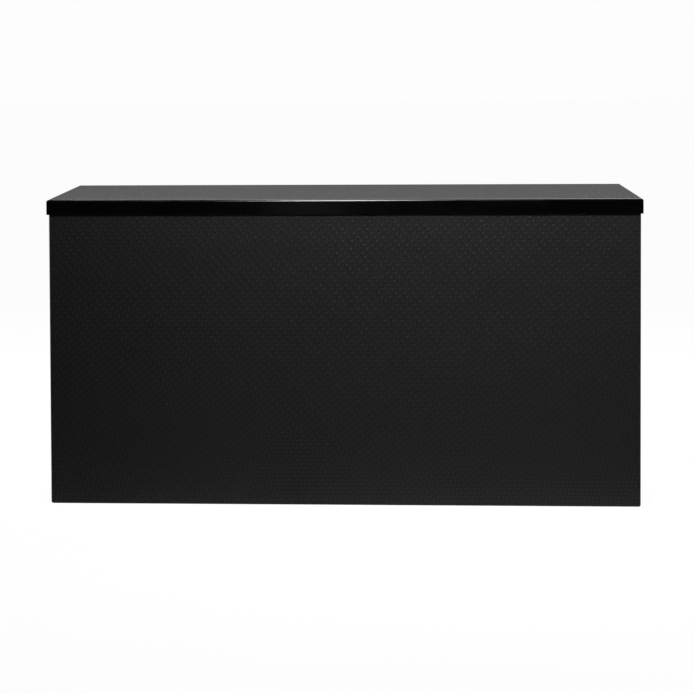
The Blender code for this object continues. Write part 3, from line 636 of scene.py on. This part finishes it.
def sheet(name, line, reach, thickness, side):
    """A closed bent sheet. line is its outer face in YZ, and side is 1 where the sheet lies to the
    left of the line's direction, and -1 to its right."""
    directions = [(b - a).normalized() for a, b in zip(line, line[1:])]
    inner = []
    for i, point in enumerate(line):
        before = directions[max(i - 1, 0)]
        after = directions[min(i, len(directions) - 1)]
        normal = Vector((-before.y - after.y, before.x + after.x)).normalized() * side
        spread = math.cos(before.angle(after, 0) / 2)
        inner.append(point + normal * thickness / spread)
    count = len(line)
    verts = [(x, *p) for x in reach for p in line] + [(x, *p) for x in reach for p in inner]
    faces = [(0, count, 3 * count, 2 * count)]
    faces.append([i + count - 1 for i in faces[0]])
    for i in range(count - 1):
        for a, b in ((0, count), (2 * count, 3 * count), (0, 2 * count), (count, 3 * count)):
            faces.append((a + i, a + i + 1, b + i + 1, b + i))
    return mesh_object(name, verts, faces)


def turned(name, profile, start, towards, steps=TURN_STEPS):
    """A turned piece. profile is (radius, distance from start), and begins and ends on the axis."""
    start = Vector(start)
    axis = (Vector(towards) - start).normalized()
    side = axis.orthogonal().normalized()
    other = axis.cross(side)
    verts, rings = [], []
    for radius, distance in profile:
        count = steps if radius else 1
        rings.append([len(verts) + i % count for i in range(steps)])
        for i in range(count):
            angle = 2 * math.pi * i / steps
            arm = side * math.cos(angle) + other * math.sin(angle)
            verts.append(start + axis * distance + arm * radius)
    faces = []
    for a, b in zip(rings, rings[1:]):
        for i in range(steps):
            k = (i + 1) % steps
            faces.append(list(dict.fromkeys((a[i], a[k], b[k], b[i]))))
    return mesh_object(name, verts, faces, SMOOTH_TURNED)


def swept(name, path, up, profile, closed):
    """A profile of (across, rise) points carried along a path, with its rise along up."""
    up = Vector(up)
    path = [Vector(p) for p in path]
    count, width = len(path), len(profile)
    verts = []
    for i, point in enumerate(path):
        before = path[i - 1] if closed or i else point
        after = path[(i + 1) % count] if closed or i < count - 1 else point
        across = (after - before).cross(up).normalized()
        verts += [point + across * a + up * b for a, b in profile]
    faces = []
    for i in range(count if closed else count - 1):
        for j in range(width):
            k, following = (j + 1) % width, (i + 1) % count
            near, far = i * width, following * width
            faces.append((near + j, near + k, far + k, far + j))
    if not closed:
        faces += [list(range(width)), list(range((count - 1) * width, count * width))]
    return mesh_object(name, verts, faces, SMOOTH_CURL)


def gathered(name, pieces):
    """Several objects as one, which uses them up."""
    bm = bmesh.new()
    for piece in pieces:
        bm.from_mesh(piece.data)
        bpy.data.objects.remove(piece)
    return from_bmesh(name, bm)


def arc(middle, radius, start, end, steps):
    """Points from start to end degrees round a middle; radius may be a pair."""
    wide, high = radius if isinstance(radius, tuple) else (radius, radius)
    angles = [math.radians(start + (end - start) * i / steps) for i in range(steps + 1)]
    return [(middle[0] + wide * math.cos(a), middle[1] + high * math.sin(a)) for a in angles]


def button(place, out, radius, rise):
    """A shallow domed head that stands off place along out."""
    dome = arc((0, 0), (radius, rise), 0, 90, 6)[:-1] + [(0, rise)]
    profile = [(0, -SINK), (radius, -SINK)] + dome
    return turned("button", profile, place, Vector(place) + Vector(out), BUTTON_STEPS)


def buttons(name, places, out, size):
    """A button of size (radius, rise) at each place, as one object."""
    return gathered(name, [button(place, out, *size) for place in places])


# Embossed slabs --------------------


def smooth_step(values):
    values = np.clip(values, 0, 1)
    return values * values * (3 - 2 * values)


def relief(s, t):
    """-1 at the bottom of a dimple to 1 at the top of a pip; s runs along the rows and t across."""
    rows = t / PIP_ROW
    columns = (s + PIP_SHEAR * rows) / PIP_COLUMN
    pips = np.cos(math.pi * columns) * np.cos(math.pi * rows)
    return np.sign(pips) * np.abs(pips) ** PIP_SHARPNESS


def slack(s, t):
    """The broad, shallow waves that a thin welded panel holds, about 0 to 1."""
    wave = np.sin(5.1 * s + 1.7 * np.sin(3.3 * t) + 0.4) * np.sin(7.3 * t + 1.1 * np.sin(4.1 * s))
    wave += 0.5 * np.sin(11.7 * s - 3.9 * t + 1.3) * np.sin(9.1 * t + 6.3 * s)
    return 0.5 + wave / 3


def heights(s, t, box, window):
    """How far each point of a slab stands off its wall."""
    left, right, top, bottom = box
    edge = np.minimum(np.minimum(s - left, right - s), np.minimum(t - top, bottom - t))
    if window is not None:
        a, b, c, d = window
        outside = np.maximum(np.maximum(a - s, s - b), np.maximum(c - t, t - d))
        edge = np.minimum(edge, np.maximum(outside, 0))
    pips = smooth_step(edge / PIP_FADE) * (1 + relief(s, t)) / 2 * PIP_DEPTH
    broad = smooth_step(edge / SLACK_EDGE) * slack(s, t) * SLACK_HEIGHT
    return SLAB_STEP + pips + broad


def grid_row(t, stops, add):
    """One row of (column, vertex) pairs through the given stops, which belong to no column."""
    step = PIP_COLUMN / SAMPLES
    start = -PIP_SHEAR * t / PIP_ROW
    first = math.ceil((stops[0] - start) / step + END_CLEAR)
    last = math.floor((stops[-1] - start) / step - END_CLEAR)
    marks = [(start + c * step, c) for c in range(first, last + 1)]
    clear = STOP_CLEAR * step
    marks = [m for m in marks if all(abs(m[0] - s) > clear for s in stops[1:-1])]
    marks += [(s, None) for s in stops]
    return [(c, add(s, t)) for s, c in sorted(marks, key=lambda m: m[0])]


def stitch(upper, lower):
    """Faces between two rows of (column, vertex) pairs, cut wherever both rows have the column."""
    places_up = {c: i for i, (c, _) in enumerate(upper)}
    places_down = {c: i for i, (c, _) in enumerate(lower)}
    shared = sorted(c for c in places_up if c is not None and c in places_down)
    stops = [(0, 0)] + [(places_up[c], places_down[c]) for c in shared]
    stops.append((len(upper) - 1, len(lower) - 1))
    faces = []
    for (a, c), (b, d) in zip(stops, stops[1:]):
        faces.append([v for _, v in upper[a : b + 1]] + [v for _, v in reversed(lower[c : d + 1])])
    return faces


def embossed_slab(reach, depth, place, window=None):
    """A closed slab over part of a wall, its outer face embossed. s runs from reach[0] to reach[1],
    t from 0 to about depth, and place(s, t, height) is the point in the world. window is an
    opening (s, s, t, t)."""
    step = PIP_ROW / SAMPLES
    count = int(depth / step)
    left, right, bottom = *reach, count * step
    verts, faces, raised = [], [], []

    def add(s, t, is_raised=True):
        verts.append((s, t))
        raised.append(is_raised)
        return len(verts) - 1

    first, last = count + 1, -1
    if window is not None:
        first, last = round(window[2] / step), round(window[3] / step)
        window = (window[0], window[1], first * step, last * step)
    rows = []
    for j in range(count + 1):
        stops = (left, *window[:2], right) if first <= j <= last else (left, right)
        rows.append(grid_row(j * step, stops, add))

    def part(row, which):
        """A row's stretch before (0), across (1) or after (2) the window, ends included."""
        ends = [i for i, (c, _) in enumerate(row) if c is None]
        return row[ends[which] : ends[which + 1] + 1]

    for j, (upper, lower) in enumerate(zip(rows, rows[1:])):
        if first <= j < last:
            faces += stitch(part(upper, 0), part(lower, 0))
            faces += stitch(part(upper, 2), part(lower, 2))
        else:
            faces += stitch(upper, lower)
    places = ((left, 0), (right, 0), (right, bottom), (left, bottom))
    corners = [add(s, t, False) for s, t in places]
    lines = [
        [v for _, v in rows[0]],
        [row[-1][1] for row in rows],
        [v for _, v in reversed(rows[-1])],
        [row[0][1] for row in reversed(rows)],
    ]
    faces += [line + [corners[(i + 1) % 4], corners[i]] for i, line in enumerate(lines)]
    if window is None:
        faces.append(corners)
    else:
        a, b, c, d = window
        hole = [add(s, t, False) for s, t in ((a, c), (b, c), (b, d), (a, d))]
        span = rows[first : last + 1]
        lines = [
            [v for _, v in part(rows[first], 1)],
            [part(row, 2)[0][1] for row in span],
            [v for _, v in reversed(part(rows[last], 1))],
            [part(row, 0)[-1][1] for row in reversed(span)],
        ]
        for i, line in enumerate(lines):
            k = (i + 1) % 4
            faces.append(line + [hole[k], hole[i]])
            faces.append([corners[i], corners[k], hole[k], hole[i]])
    points = np.array(verts)
    stand = heights(points[:, 0], points[:, 1], (left, right, 0, bottom), window)
    stand = np.where(raised, stand, -SLAB_BACK)
    return mesh_object("slab", [place(s, t, h) for (s, t), h in zip(verts, stand)], faces)


# Body --------------------


def body_walls():
    """The wrap as front wall, floor and rear wall, seamed under the floor."""
    inner, lip, cut = WALL_Y - RIM, RIM_Z - RIM_LIP, WALL_Y - FLOOR_SEAM
    reach = (-WALL_X, WALL_X)
    pieces = []
    for label, side in (("front", -1), ("rear", 1)):
        line = [(inner, lip), (inner, RIM_Z), (WALL_Y, RIM_Z), (WALL_Y, 0), (cut, 0)]
        line = bent([(side * y, z) for y, z in line], BEND)
        wall = sheet(f"body_{label}_wall", line, reach, SHEET, -side)
        if side < 0:
            top = RIM_Z - BEND - EDGE
            down, place = (2, -1, top), lambda s, t, h: (s, -WALL_Y - h, top - t)
        else:
            top = HINGE_LOW - LEAF_CLEAR
            down, place = (2, 1, FOOT_STRIP), lambda s, t, h: (s, WALL_Y + h, FOOT_STRIP + t)
        slab = embossed_slab((EDGE - WALL_X, WALL_X - EDGE), top - FOOT_STRIP, place)
        combine(wall, "UNION", slab)
        pieces.append(painted(wall, body_paint(f"embossed_paint_{label}", (0, 1), down)))
    line = [Vector((-cut, 0)), Vector((cut, 0))]
    floor = sheet("body_floor", line, reach, SHEET, 1)
    pieces.append(painted(floor, body_paint("embossed_paint_floor", (0, 1), (1, 1, 0))))
    for piece in pieces:
        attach(piece, "body")
    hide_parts("body_wrap")


def end_wall(side, name):
    """An end panel with its latch opening, from the CAD node, with its outer face embossed."""
    node = frame["nodes"][f"end_panel_{name}"]
    wall = closed_copy(node, f"end_wall_{name}")
    low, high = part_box(f"latch_dish_{name}")
    top = RIM_Z - BEND - EDGE
    reach = WALL_Y - BEND - EDGE
    ends = sorted((side * low.y, side * high.y))
    window = (ends[0] + EDGE, ends[1] - EDGE, top - high.z + EDGE, top - low.z - EDGE)

    def place(s, t, h):
        return side * (END_X + h), side * s, top - t

    slab = embossed_slab((-reach, reach), top - FOOT_STRIP, place, window)
    combine(wall, "UNION", slab)
    painted(wall, body_paint(f"embossed_paint_{name}", (1, side), (2, -1, top)))
    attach(weighted(wall), "body")
    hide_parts(node.name)


# Lid --------------------


def lid_shell():
    """The cap lid: top and drop flanges in one sheet, its bends fine enough to carry a highlight
    and mitred where they meet. Its inner faces have the satin coat, its lighter black painted light."""
    low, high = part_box("lid_skin")

    def rounded(middle, direction):
        return abs(direction.z) < 0.1 and middle.z > high.z - SHEET - GAP

    shell = rounded_box("lid_shell", low, high, LID_BEND, rounded)
    hollow_low = low + Vector((SHEET, SHEET, -FAR))
    hollow_high = high - Vector((SHEET, SHEET, SHEET))
    hollow = rounded_box("hollow", hollow_low, hollow_high, LID_BEND - SHEET, rounded)
    combine(shell, "DIFFERENCE", hollow)
    painted(shell, coat("lid_gloss_paint"))
    shell.data.materials.append(coat("lid_inner_painted_light", "satin_painted_light"))
    middle = (low + high) / 2
    for face in shell.data.polygons:
        outwards = (face.center - middle) * face.normal
        if face.center.z < high.z - SHEET / 2 and max(outwards.x, outwards.y) < GAP:
            face.material_index = 1
    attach(softened(shell, LID_ROUNDING), "lid")
    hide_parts("lid_skin")


# Fittings --------------------


def fitted(obj, slot, body, *nodes, finish=None):
    """Gives a piece the finish of its slot and its body, and hides the CAD nodes it stands for."""
    painted(obj, FINISHES[finish or slot])
    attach(obj, body)
    if nodes:
        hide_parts(*nodes)


def rim_bulb():
    """The rubber seal round the rim: a foot with two side lips, and a bulb flattened by the lid."""
    low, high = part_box("rim_seal")
    half, height = SEAL_WIDTH / 2, high.z - low.z
    right = [(half - inset, rise) for inset, rise in SEAL_FOOT]
    right += arc((0, height * BULB_MIDDLE), (half - BULB_INSET, height * BULB_HEIGHT), *BULB_ARC)
    right += [(half * share, height - drop) for share, drop in SEAL_FLAT]
    profile = right + [(-across, rise) for across, rise in reversed(right)]
    reach_x, reach_y = high.x - half - SEAL_CORNER, high.y - half - SEAL_CORNER
    path = []
    for turn, (x, y) in enumerate(((1, 1), (-1, 1), (-1, -1), (1, -1))):
        corner = (x * reach_x, y * reach_y)
        path += [(*p, low.z) for p in arc(corner, SEAL_CORNER, 90 * turn, 90 * turn + 90, 8)]
    seal = swept("rim_seal_bulb", path, (0, 0, 1), profile, True)
    fitted(seal, "rubber", "body", "rim_seal")


def hinge_leaf(label, edge, towards, first):
    """A leaf from its free edge to its curl round the pin. towards is 1 for the leaf below the pin
    and -1 for the one above, and first is the first knuckle cut away from it."""
    pivot = PIVOTS["lid_hinge"]
    pitch = (PIN_STOP - PIN_START) / KNUCKLES
    back = pivot.y - KNUCKLE
    start = 180 * towards
    curl = arc((pivot.y, pivot.z), KNUCKLE, start, start - towards * CURL, CURL_STEPS)
    line = [(back, edge), (back, pivot.z - towards * KNUCKLE), *curl]
    line = [Vector(p) for p in line]
    leaf = sheet(f"hinge_leaf_{label}_curled", line, (PIN_START, PIN_STOP), LEAF, -towards)
    reach = Vector((0, 2 * KNUCKLE, KNUCKLE + KNUCKLE_CLEAR))
    notches = []
    for i in range(first, KNUCKLES, 2):
        near = Vector((PIN_START + i * pitch - GAP / 2, pivot.y, pivot.z))
        far = near + Vector((pitch + GAP, 0, 0))
        notches.append(block("notch", near - reach, far + reach))
    combine(leaf, "DIFFERENCE", gathered("notches", notches))
    shade(leaf.data, SMOOTH_CURL)
    fitted(leaf, "zinc", label, f"hinge_leaf_{label}")


def hinge():
    """The continuous hinge: two curled leaves with knuckles by turns, the pin, and its rivets."""
    hinge_leaf("body", HINGE_LOW, 1, 1)
    hinge_leaf("lid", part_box("hinge_leaf_lid")[1].z, -1, 0)
    pivot = PIVOTS["lid_hinge"]
    length = PIN_STOP - PIN_START
    end = [(PIN * share, distance) for share, distance in PIN_END]
    profile = end + [(radius, length - distance) for radius, distance in reversed(end)]
    start = Vector((PIN_START, pivot.y, pivot.z))
    pin = turned("hinge_pin_rod", profile, start, start + Vector((length, 0, 0)), 24)
    fitted(pin, "zinc", "body", "hinge_pin")
    face = pivot.y - KNUCKLE + LEAF
    places = []
    for i in range(HINGE_RIVETS):
        x = PIN_START + length * (i + 0.5) / HINGE_RIVETS
        places.append((x, face, HINGE_LOW + HINGE_RIVET_RISE))
    heads = buttons("hinge_rivets", places, (0, 1, 0), HINGE_RIVET)
    fitted(heads, "zinc", "body")


def moved(line, distance):
    return [(radius, place + distance) for radius, place in line]


def spring_socket(name, label, place, other):
    """A gas spring's plastic end: an eye across the spring, with a neck towards its other end."""
    across = Vector((1, 0, 0))
    ring = [*SOCKET_LINE, *[(radius, -distance) for radius, distance in reversed(SOCKET_LINE)]]
    socket = turned(f"socket_{label}_{name}", ring, place, place + across)
    combine(socket, "UNION", turned("neck", SOCKET_NECK_LINE, place, other))
    bore = [(0, -SOCKET_REACH), (SOCKET_BORE, -SOCKET_REACH)]
    bore += [(radius, -distance) for radius, distance in reversed(bore)]
    combine(socket, "DIFFERENCE", turned("hole", bore, place, place + across))
    shade(socket.data, SMOOTH_CURL)
    body, node = f"spring_{label}_{name}", f"spring_{label}_eye_{name}"
    fitted(weighted(socket), "plastic", body, node)


def spring_stud(name, label, place, body):
    """The stud that a socket turns on, from its foot to its rounded head."""
    node = f"spring_{label}_stud_{name}"
    low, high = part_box(node)
    foot, tip = (high.x, low.x) if place.x > 0 else (low.x, high.x)
    length = abs(tip - foot)
    shank = length - STUD_HEAD
    reach = shank - STUD_GRIP
    radius, rise, rounding = STUD_ROUND
    profile = [(0, 0), (STUD_FOOT, 0), (STUD_FOOT, reach), (STUD_SHANK, reach)]
    profile += [(STUD_SHANK, shank), (STUD_NECK, shank)]
    profile += arc((radius, shank + rise), rounding, -30, 90, 5) + [(0, length)]
    start, end = (foot, place.y, place.z), (tip, place.y, place.z)
    stud = turned(f"stud_{label}_{name}", profile, start, end)
    fitted(stud, "zinc", body, node)


def gas_spring(name):
    """A gas spring's cylinder, rod, two sockets and two studs, from its two pivots."""
    lower = PIVOTS[f"spring_tube_pivot_{name}"]
    upper = PIVOTS[f"spring_rod_pivot_{name}"]
    outline = moved(CYLINDER_FOOT_LINE, SPRING_FOOT) + moved(CYLINDER_NECK_LINE, CYLINDER_MOUTH)
    outline += moved(CYLINDER_HOLLOW_LINE, SPRING_FOOT)
    body = f"spring_tube_{name}"
    tube = turned(f"gas_cylinder_{name}", outline, lower, upper)
    fitted(tube, "spring_paint", body, body)
    outline = moved(ROD_FOOT_LINE, SPRING_FOOT) + moved(ROD_TIP_LINE, ROD_TIP)
    body = f"spring_rod_{name}"
    rod = turned(f"gas_rod_{name}", outline, upper, lower)
    fitted(rod, "chrome", body, body)
    spring_socket(name, "tube", lower, upper)
    spring_socket(name, "rod", upper, lower)
    spring_stud(name, "wall", lower, "body")
    spring_stud(name, "lid", upper, "lid")


def wall_plate(name):
    """The gas spring's plate on the end wall, with its four rivets."""
    node = f"spring_wall_plate_{name}"
    low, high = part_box(node)

    def rounded(middle, direction):
        return abs(direction.x) > 0.9

    plate = rounded_box(f"gas_plate_{name}", low, high, PLATE_CORNER, rounded)
    baked(softened(plate, ROUNDING))
    fitted(plate, "zinc", "body", node)
    side, face = (1, low.x) if low.x > 0 else (-1, high.x)
    places = []
    for y in (low.y + RIVET_INSET, high.y - RIVET_INSET):
        for z in (low.z + RIVET_INSET, high.z - RIVET_INSET):
            places.append((face, y, z))
    heads = buttons(f"gas_plate_rivets_{name}", places, (-side, 0, 0), PLATE_RIVET)
    fitted(heads, "zinc", "body")


def lid_fitting_rivets(name):
    """Rivet heads under the feet of the lid's spring bracket and catch."""
    low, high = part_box(f"spring_lid_bracket_{name}")
    x = low.x + BRACKET_RIVET_INSET if low.x > 0 else high.x - BRACKET_RIVET_INSET
    places = [(x, y, high.z - BRACKET_FOOT) for y in (low.y + RIVET_INSET, high.y - RIVET_INSET)]
    low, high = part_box(f"lid_catch_{name}")
    places.append(((low.x + high.x) / 2, high.y - CATCH_RIVET_INSET, high.z - CATCH_FOOT))
    heads = buttons(f"lid_fitting_rivets_{name}", places, (0, 0, -1), FOOT_RIVET)
    fitted(heads, "zinc", "lid")


def lid_channels():
    """The hat channels under the lid, with a row of spot welds on each foot."""
    for label in ("front", "rear"):
        node = f"lid_stiffener_{label}"
        low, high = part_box(node)
        foot, web = (high.y - low.y) / 2, CHANNEL_WEB
        middle = (low.y + high.y) / 2
        half = [(foot, high.z), (web, high.z), (web, low.z)]
        corners = [(-y, z) for y, z in half] + half[::-1]
        line = bent([(middle + y, z) for y, z in corners], CHANNEL_BEND, BOX_STEPS)
        channel = sheet(f"lid_channel_{label}", line, (low.x, high.x), CHANNEL_SHEET, 1)
        fitted(weighted(channel), "lid_paint", "lid", node)
        places = []
        for i in range(CHANNEL_WELDS):
            x = low.x + (high.x - low.x) * (i + 0.5) / CHANNEL_WELDS
            for y in (-(foot + web) / 2, (foot + web) / 2):
                places.append((x, middle + y, high.z - CHANNEL_SHEET))
        welds = buttons(f"lid_channel_welds_{label}", places, (0, 0, -1), WELD)
        fitted(welds, "lid_paint", "lid")


def body_welds():
    """Spot welds where the end walls' flanges lap the wrap."""
    flange_x = END_X - WELD_INSET
    inner_y, inner_z = WALL_Y - 2 * SHEET - GAP, 2 * SHEET + GAP
    welds = []
    for x in (-flange_x, flange_x):
        steps = [WELD_PITCH * i for i in range(WELD_ROW)]
        for y in (-1, 1):
            places = [(x, y * inner_y, WELD_LOWEST + step) for step in steps]
            welds.append(buttons("row", places, (0, -y, 0), WELD))
        places = [(x, step - steps[-1] / 2, inner_z) for step in steps]
        welds.append(buttons("row", places, (0, 0, 1), WELD))
    welds = gathered("body_spot_welds", welds)
    fitted(welds, "body_paint", "body", finish="inner_paint")


def latch_seal(name):
    node = f"latch_gasket_{name}"
    gasket = closed_copy(frame["nodes"][node], f"latch_seal_{name}")
    baked(rounded_edges(gasket, SEAL_ROUNDING, 3))
    fitted(gasket, "rubber", "body", node)


def dish_rivets(side, name):
    """The four rivets that hold a latch's dish, each from its domed head to its tail."""
    names = [f"dish_rivet_{name}_{i}" for i in range(1, 5)]
    rivets = []
    for node in names:
        low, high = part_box(node)
        middle = (low + high) / 2
        out = high.x if side > 0 else low.x
        radius = (high.y - low.y) / 2
        dome = arc((0, 0), (radius, DISH_RIVET_CROWN), 82, 0, 8)
        profile = [(0, 0)] + [(r, DISH_RIVET_CROWN - h) for r, h in dome]
        profile += [(DISH_RIVET_LINE[0][0], DISH_RIVET_CROWN)]
        profile += moved(DISH_RIVET_LINE, high.x - low.x)
        start = Vector((out, middle.y, middle.z))
        rivets.append(turned("rivet", profile, start, start - Vector((side, 0, 0)), 32))
    fitted(gathered(f"dish_rivets_{name}", rivets), "zinc", "body", *names)


def lock_barrel(side, name):
    """The lock's barrel with its rounded face, key slot and stem."""
    node = f"latch_lock_cylinder_{name}"
    pivot = PIVOTS[f"lock_turn_{name}"]
    low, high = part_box(node)
    face, back = (high.x, low.x) if side > 0 else (low.x, high.x)
    length = abs(face - back)
    profile = [*LOCK_FACE_LINE, (LOCK_FACE_LINE[-1][0], length), (0, length)]
    start, end = (face, pivot.y, pivot.z), (back, pivot.y, pivot.z)
    lock = turned(f"lock_barrel_{name}", profile, start, end, 64)
    depth, half_width, half_height = KEY_SLOT
    near, far = sorted((face + side * KEY_SLOT_CLEAR, face - side * depth))
    half = Vector((0, half_width, half_height))
    middle = Vector((0, pivot.y, pivot.z))
    slot_low, slot_high = middle - half, middle + half
    slot_low.x, slot_high.x = near, far
    combine(lock, "DIFFERENCE", block("slot", slot_low, slot_high))
    shade(lock.data, SMOOTH_TURNED)
    fitted(lock, "chrome", f"lock_{name}", node)


def bolt_coil(name):
    """The bolt's coil spring, at rest."""
    node, joint = f"latch_bolt_spring_{name}", f"bolt_slide_{name}"
    low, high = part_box(node)
    middle = (low + high) / 2
    radius = (high.z - low.z) / 2 - COIL_WIRE
    length = high.y - low.y
    path = []
    count = COIL_TURNS * COIL_STEPS
    for i in range(count + 1):
        angle = 2 * math.pi * i / COIL_STEPS
        y = low.y + COIL_WIRE + (length - 2 * COIL_WIRE) * i / count
        x, z = middle.x + radius * math.cos(angle), middle.z + radius * math.sin(angle)
        path.append((x, y, z))
    profile = arc((0, 0), COIL_WIRE, 0, 315, COIL_WIRE_SIDES - 1)
    coil = swept(f"bolt_coil_{name}", path, (0, 1, 0), profile, False)
    fitted(coil, "zinc", "body", node)
    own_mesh(coil)


def carry_over():
    """Gives every CAD node that still shows its finish, and breaks its edges."""
    slots = {part["node"]: part["material_slot"] for part in frame["record"]["subparts"]}
    for name, node in frame["nodes"].items():
        if node.hide_render:
            continue
        node.data.materials.clear()
        node.data.materials.append(FINISHES[slots[name]])
        softened(node, FINE_ROUNDING if "pin" in name or "rod" in name else ROUNDING)


def fittings():
    rim_bulb()
    hinge()
    lid_channels()
    body_welds()
    for side, name in SIDES:
        gas_spring(name)
        wall_plate(name)
        lid_fitting_rivets(name)
        latch_seal(name)
        dish_rivets(side, name)
        lock_barrel(side, name)
        bolt_coil(name)
    carry_over()


# Stage --------------------


def stage_floor():
    """A pale floor. It glows for the camera alone, so that it stays pale while its reflection
    in the box is dim."""
    size = FLOOR_REACH
    corners = [(-size, -size, 0), (size, -size, 0), (size, size, 0), (-size, size, 0)]
    floor = mesh_object("floor", corners, [(0, 1, 2, 3)])
    nodes = new_nodes("pale_floor")
    tone = nodes.blend(nodes.noise(0.35, 3), (0.99, 0.99, 0.99), (1.0, 1.0, 1.0))
    glow = nodes.add("ShaderNodeEmission", {"Color": tone, "Strength": FLOOR_GLOW})
    lit = nodes.add("ShaderNodeBsdfDiffuse", {"Color": (FLOOR_LIT, FLOOR_LIT, FLOOR_LIT, 1)})
    both = nodes.add("ShaderNodeAddShader", {0: glow.outputs[0], 1: lit.outputs[0]})
    x, y, _ = nodes.parts(nodes.coordinates["Object"])
    beyond_x = nodes.maths("SUBTRACT", nodes.maths("ABSOLUTE", x), END_X)
    beyond_y = nodes.maths("SUBTRACT", nodes.maths("ABSOLUTE", y), WALL_Y)
    behind = nodes.maths("ADD", y, WALL_Y)
    aside = nodes.maths("SUBTRACT", beyond_x, FLOOR_CLEAR)
    aside = nodes.maths("MULTIPLY_ADD", y, FLOOR_CLEAR_SLOPE, aside)
    back = nodes.maths("MAXIMUM", behind, aside)
    back = nodes.smooth(back, FLOOR_BACK_SPAN, FLOOR_FAR, FLOOR_BACK)
    reach = nodes.maths("MAXIMUM", beyond_x, beyond_y)
    strip = nodes.smooth(reach, FLOOR_STRIP_SPAN, FLOOR_STRIP, 0)
    bounce = nodes.maths("ADD", nodes.spread(reach, FLOOR_NEAR_SPAN, FLOOR_NEAR, back), strip)
    dim = nodes.add("ShaderNodeBsdfDiffuse", {"Color": bounce})
    nodes.surface(both, dim)
    floor.data.materials.append(nodes.block)


def studio_world():
    """White to the camera; a dim studio to everything else, greyest low down and behind."""
    world = bpy.data.worlds.new("studio")
    bpy.context.scene.world = world
    nodes = Nodes(world)
    x, y, z = nodes.parts(nodes.coordinates["Generated"])
    band = nodes.spread(z, BAND_SPAN, BACK_GREY, BAND_GREY)
    low = nodes.spread(y, BACK_SPAN, FRONT_GREY, band)
    ahead = nodes.between(nodes.smooth(z, HIGH_SPAN), low, HIGH_GREY)
    aside = nodes.smooth(nodes.maths("ABSOLUTE", x), SIDE_SPAN)
    level = nodes.between(aside, ahead, SIDE_GREY)
    grey = nodes.add("ShaderNodeBackground", {"Color": level})
    white = nodes.add("ShaderNodeBackground", {"Color": (WHITE, WHITE, WHITE, 1)})
    nodes.surface(white, grey)


def softbox(name, place, target, size, power, spread=180, mirrored=True):
    """An area lamp aimed at target, its spread in degrees. Reflections show it if mirrored."""
    light = bpy.data.lights.new(name, "AREA")
    light.shape = "RECTANGLE"
    light.size, light.size_y = size
    light.energy = power
    light.spread = math.radians(spread)
    obj = placed(name, light)
    obj.location = place
    obj.rotation_euler = (Vector(target) - Vector(place)).to_track_quat("-Z", "Y").to_euler()
    obj.visible_camera = False
    obj.visible_glossy = mirrored


def photo_camera():
    """The camera of the photograph. Its lens shift holds only at its own place, so that any other
    view is centred."""
    data = bpy.data.cameras.new("camera")
    camera = placed("camera", data)
    data.sensor_width = SENSOR
    data.lens = CAMERA_LENS
    data.clip_start, data.clip_end = CLIP
    camera.location = CAMERA_PLACE
    level = math.cos(CAMERA_PITCH)
    ahead = (math.sin(CAMERA_YAW) * level, math.cos(CAMERA_YAW) * level, math.sin(CAMERA_PITCH))
    ahead = Vector(ahead)
    right = Vector((math.cos(CAMERA_YAW), -math.sin(CAMERA_YAW), 0))
    up = right.cross(ahead)
    turn = Matrix.Rotation(CAMERA_ROLL, 3, "Z")
    axes = Matrix((right, up, -ahead)).transposed() @ turn
    camera.rotation_euler = axes.to_euler()
    for path, value in zip(("shift_x", "shift_y"), CAMERA_SHIFT):
        driver = data.driver_add(path).driver
        variable = driver.variables.new()
        variable.name = "y"
        variable.targets[0].id = camera
        variable.targets[0].data_path = "location.y"
        driver.expression = f"{value} if abs(y - ({CAMERA_PLACE[1]})) < 0.0001 else 0"
    bpy.context.scene.camera = camera


body_walls()
for side, name in SIDES:
    end_wall(side, name)
lid_shell()
fittings()
stage_floor()
studio_world()
for name, lamp in LAMPS.items():
    softbox(name, *lamp)
bpy.context.scene.view_settings.view_transform = "Standard"
photo_camera()
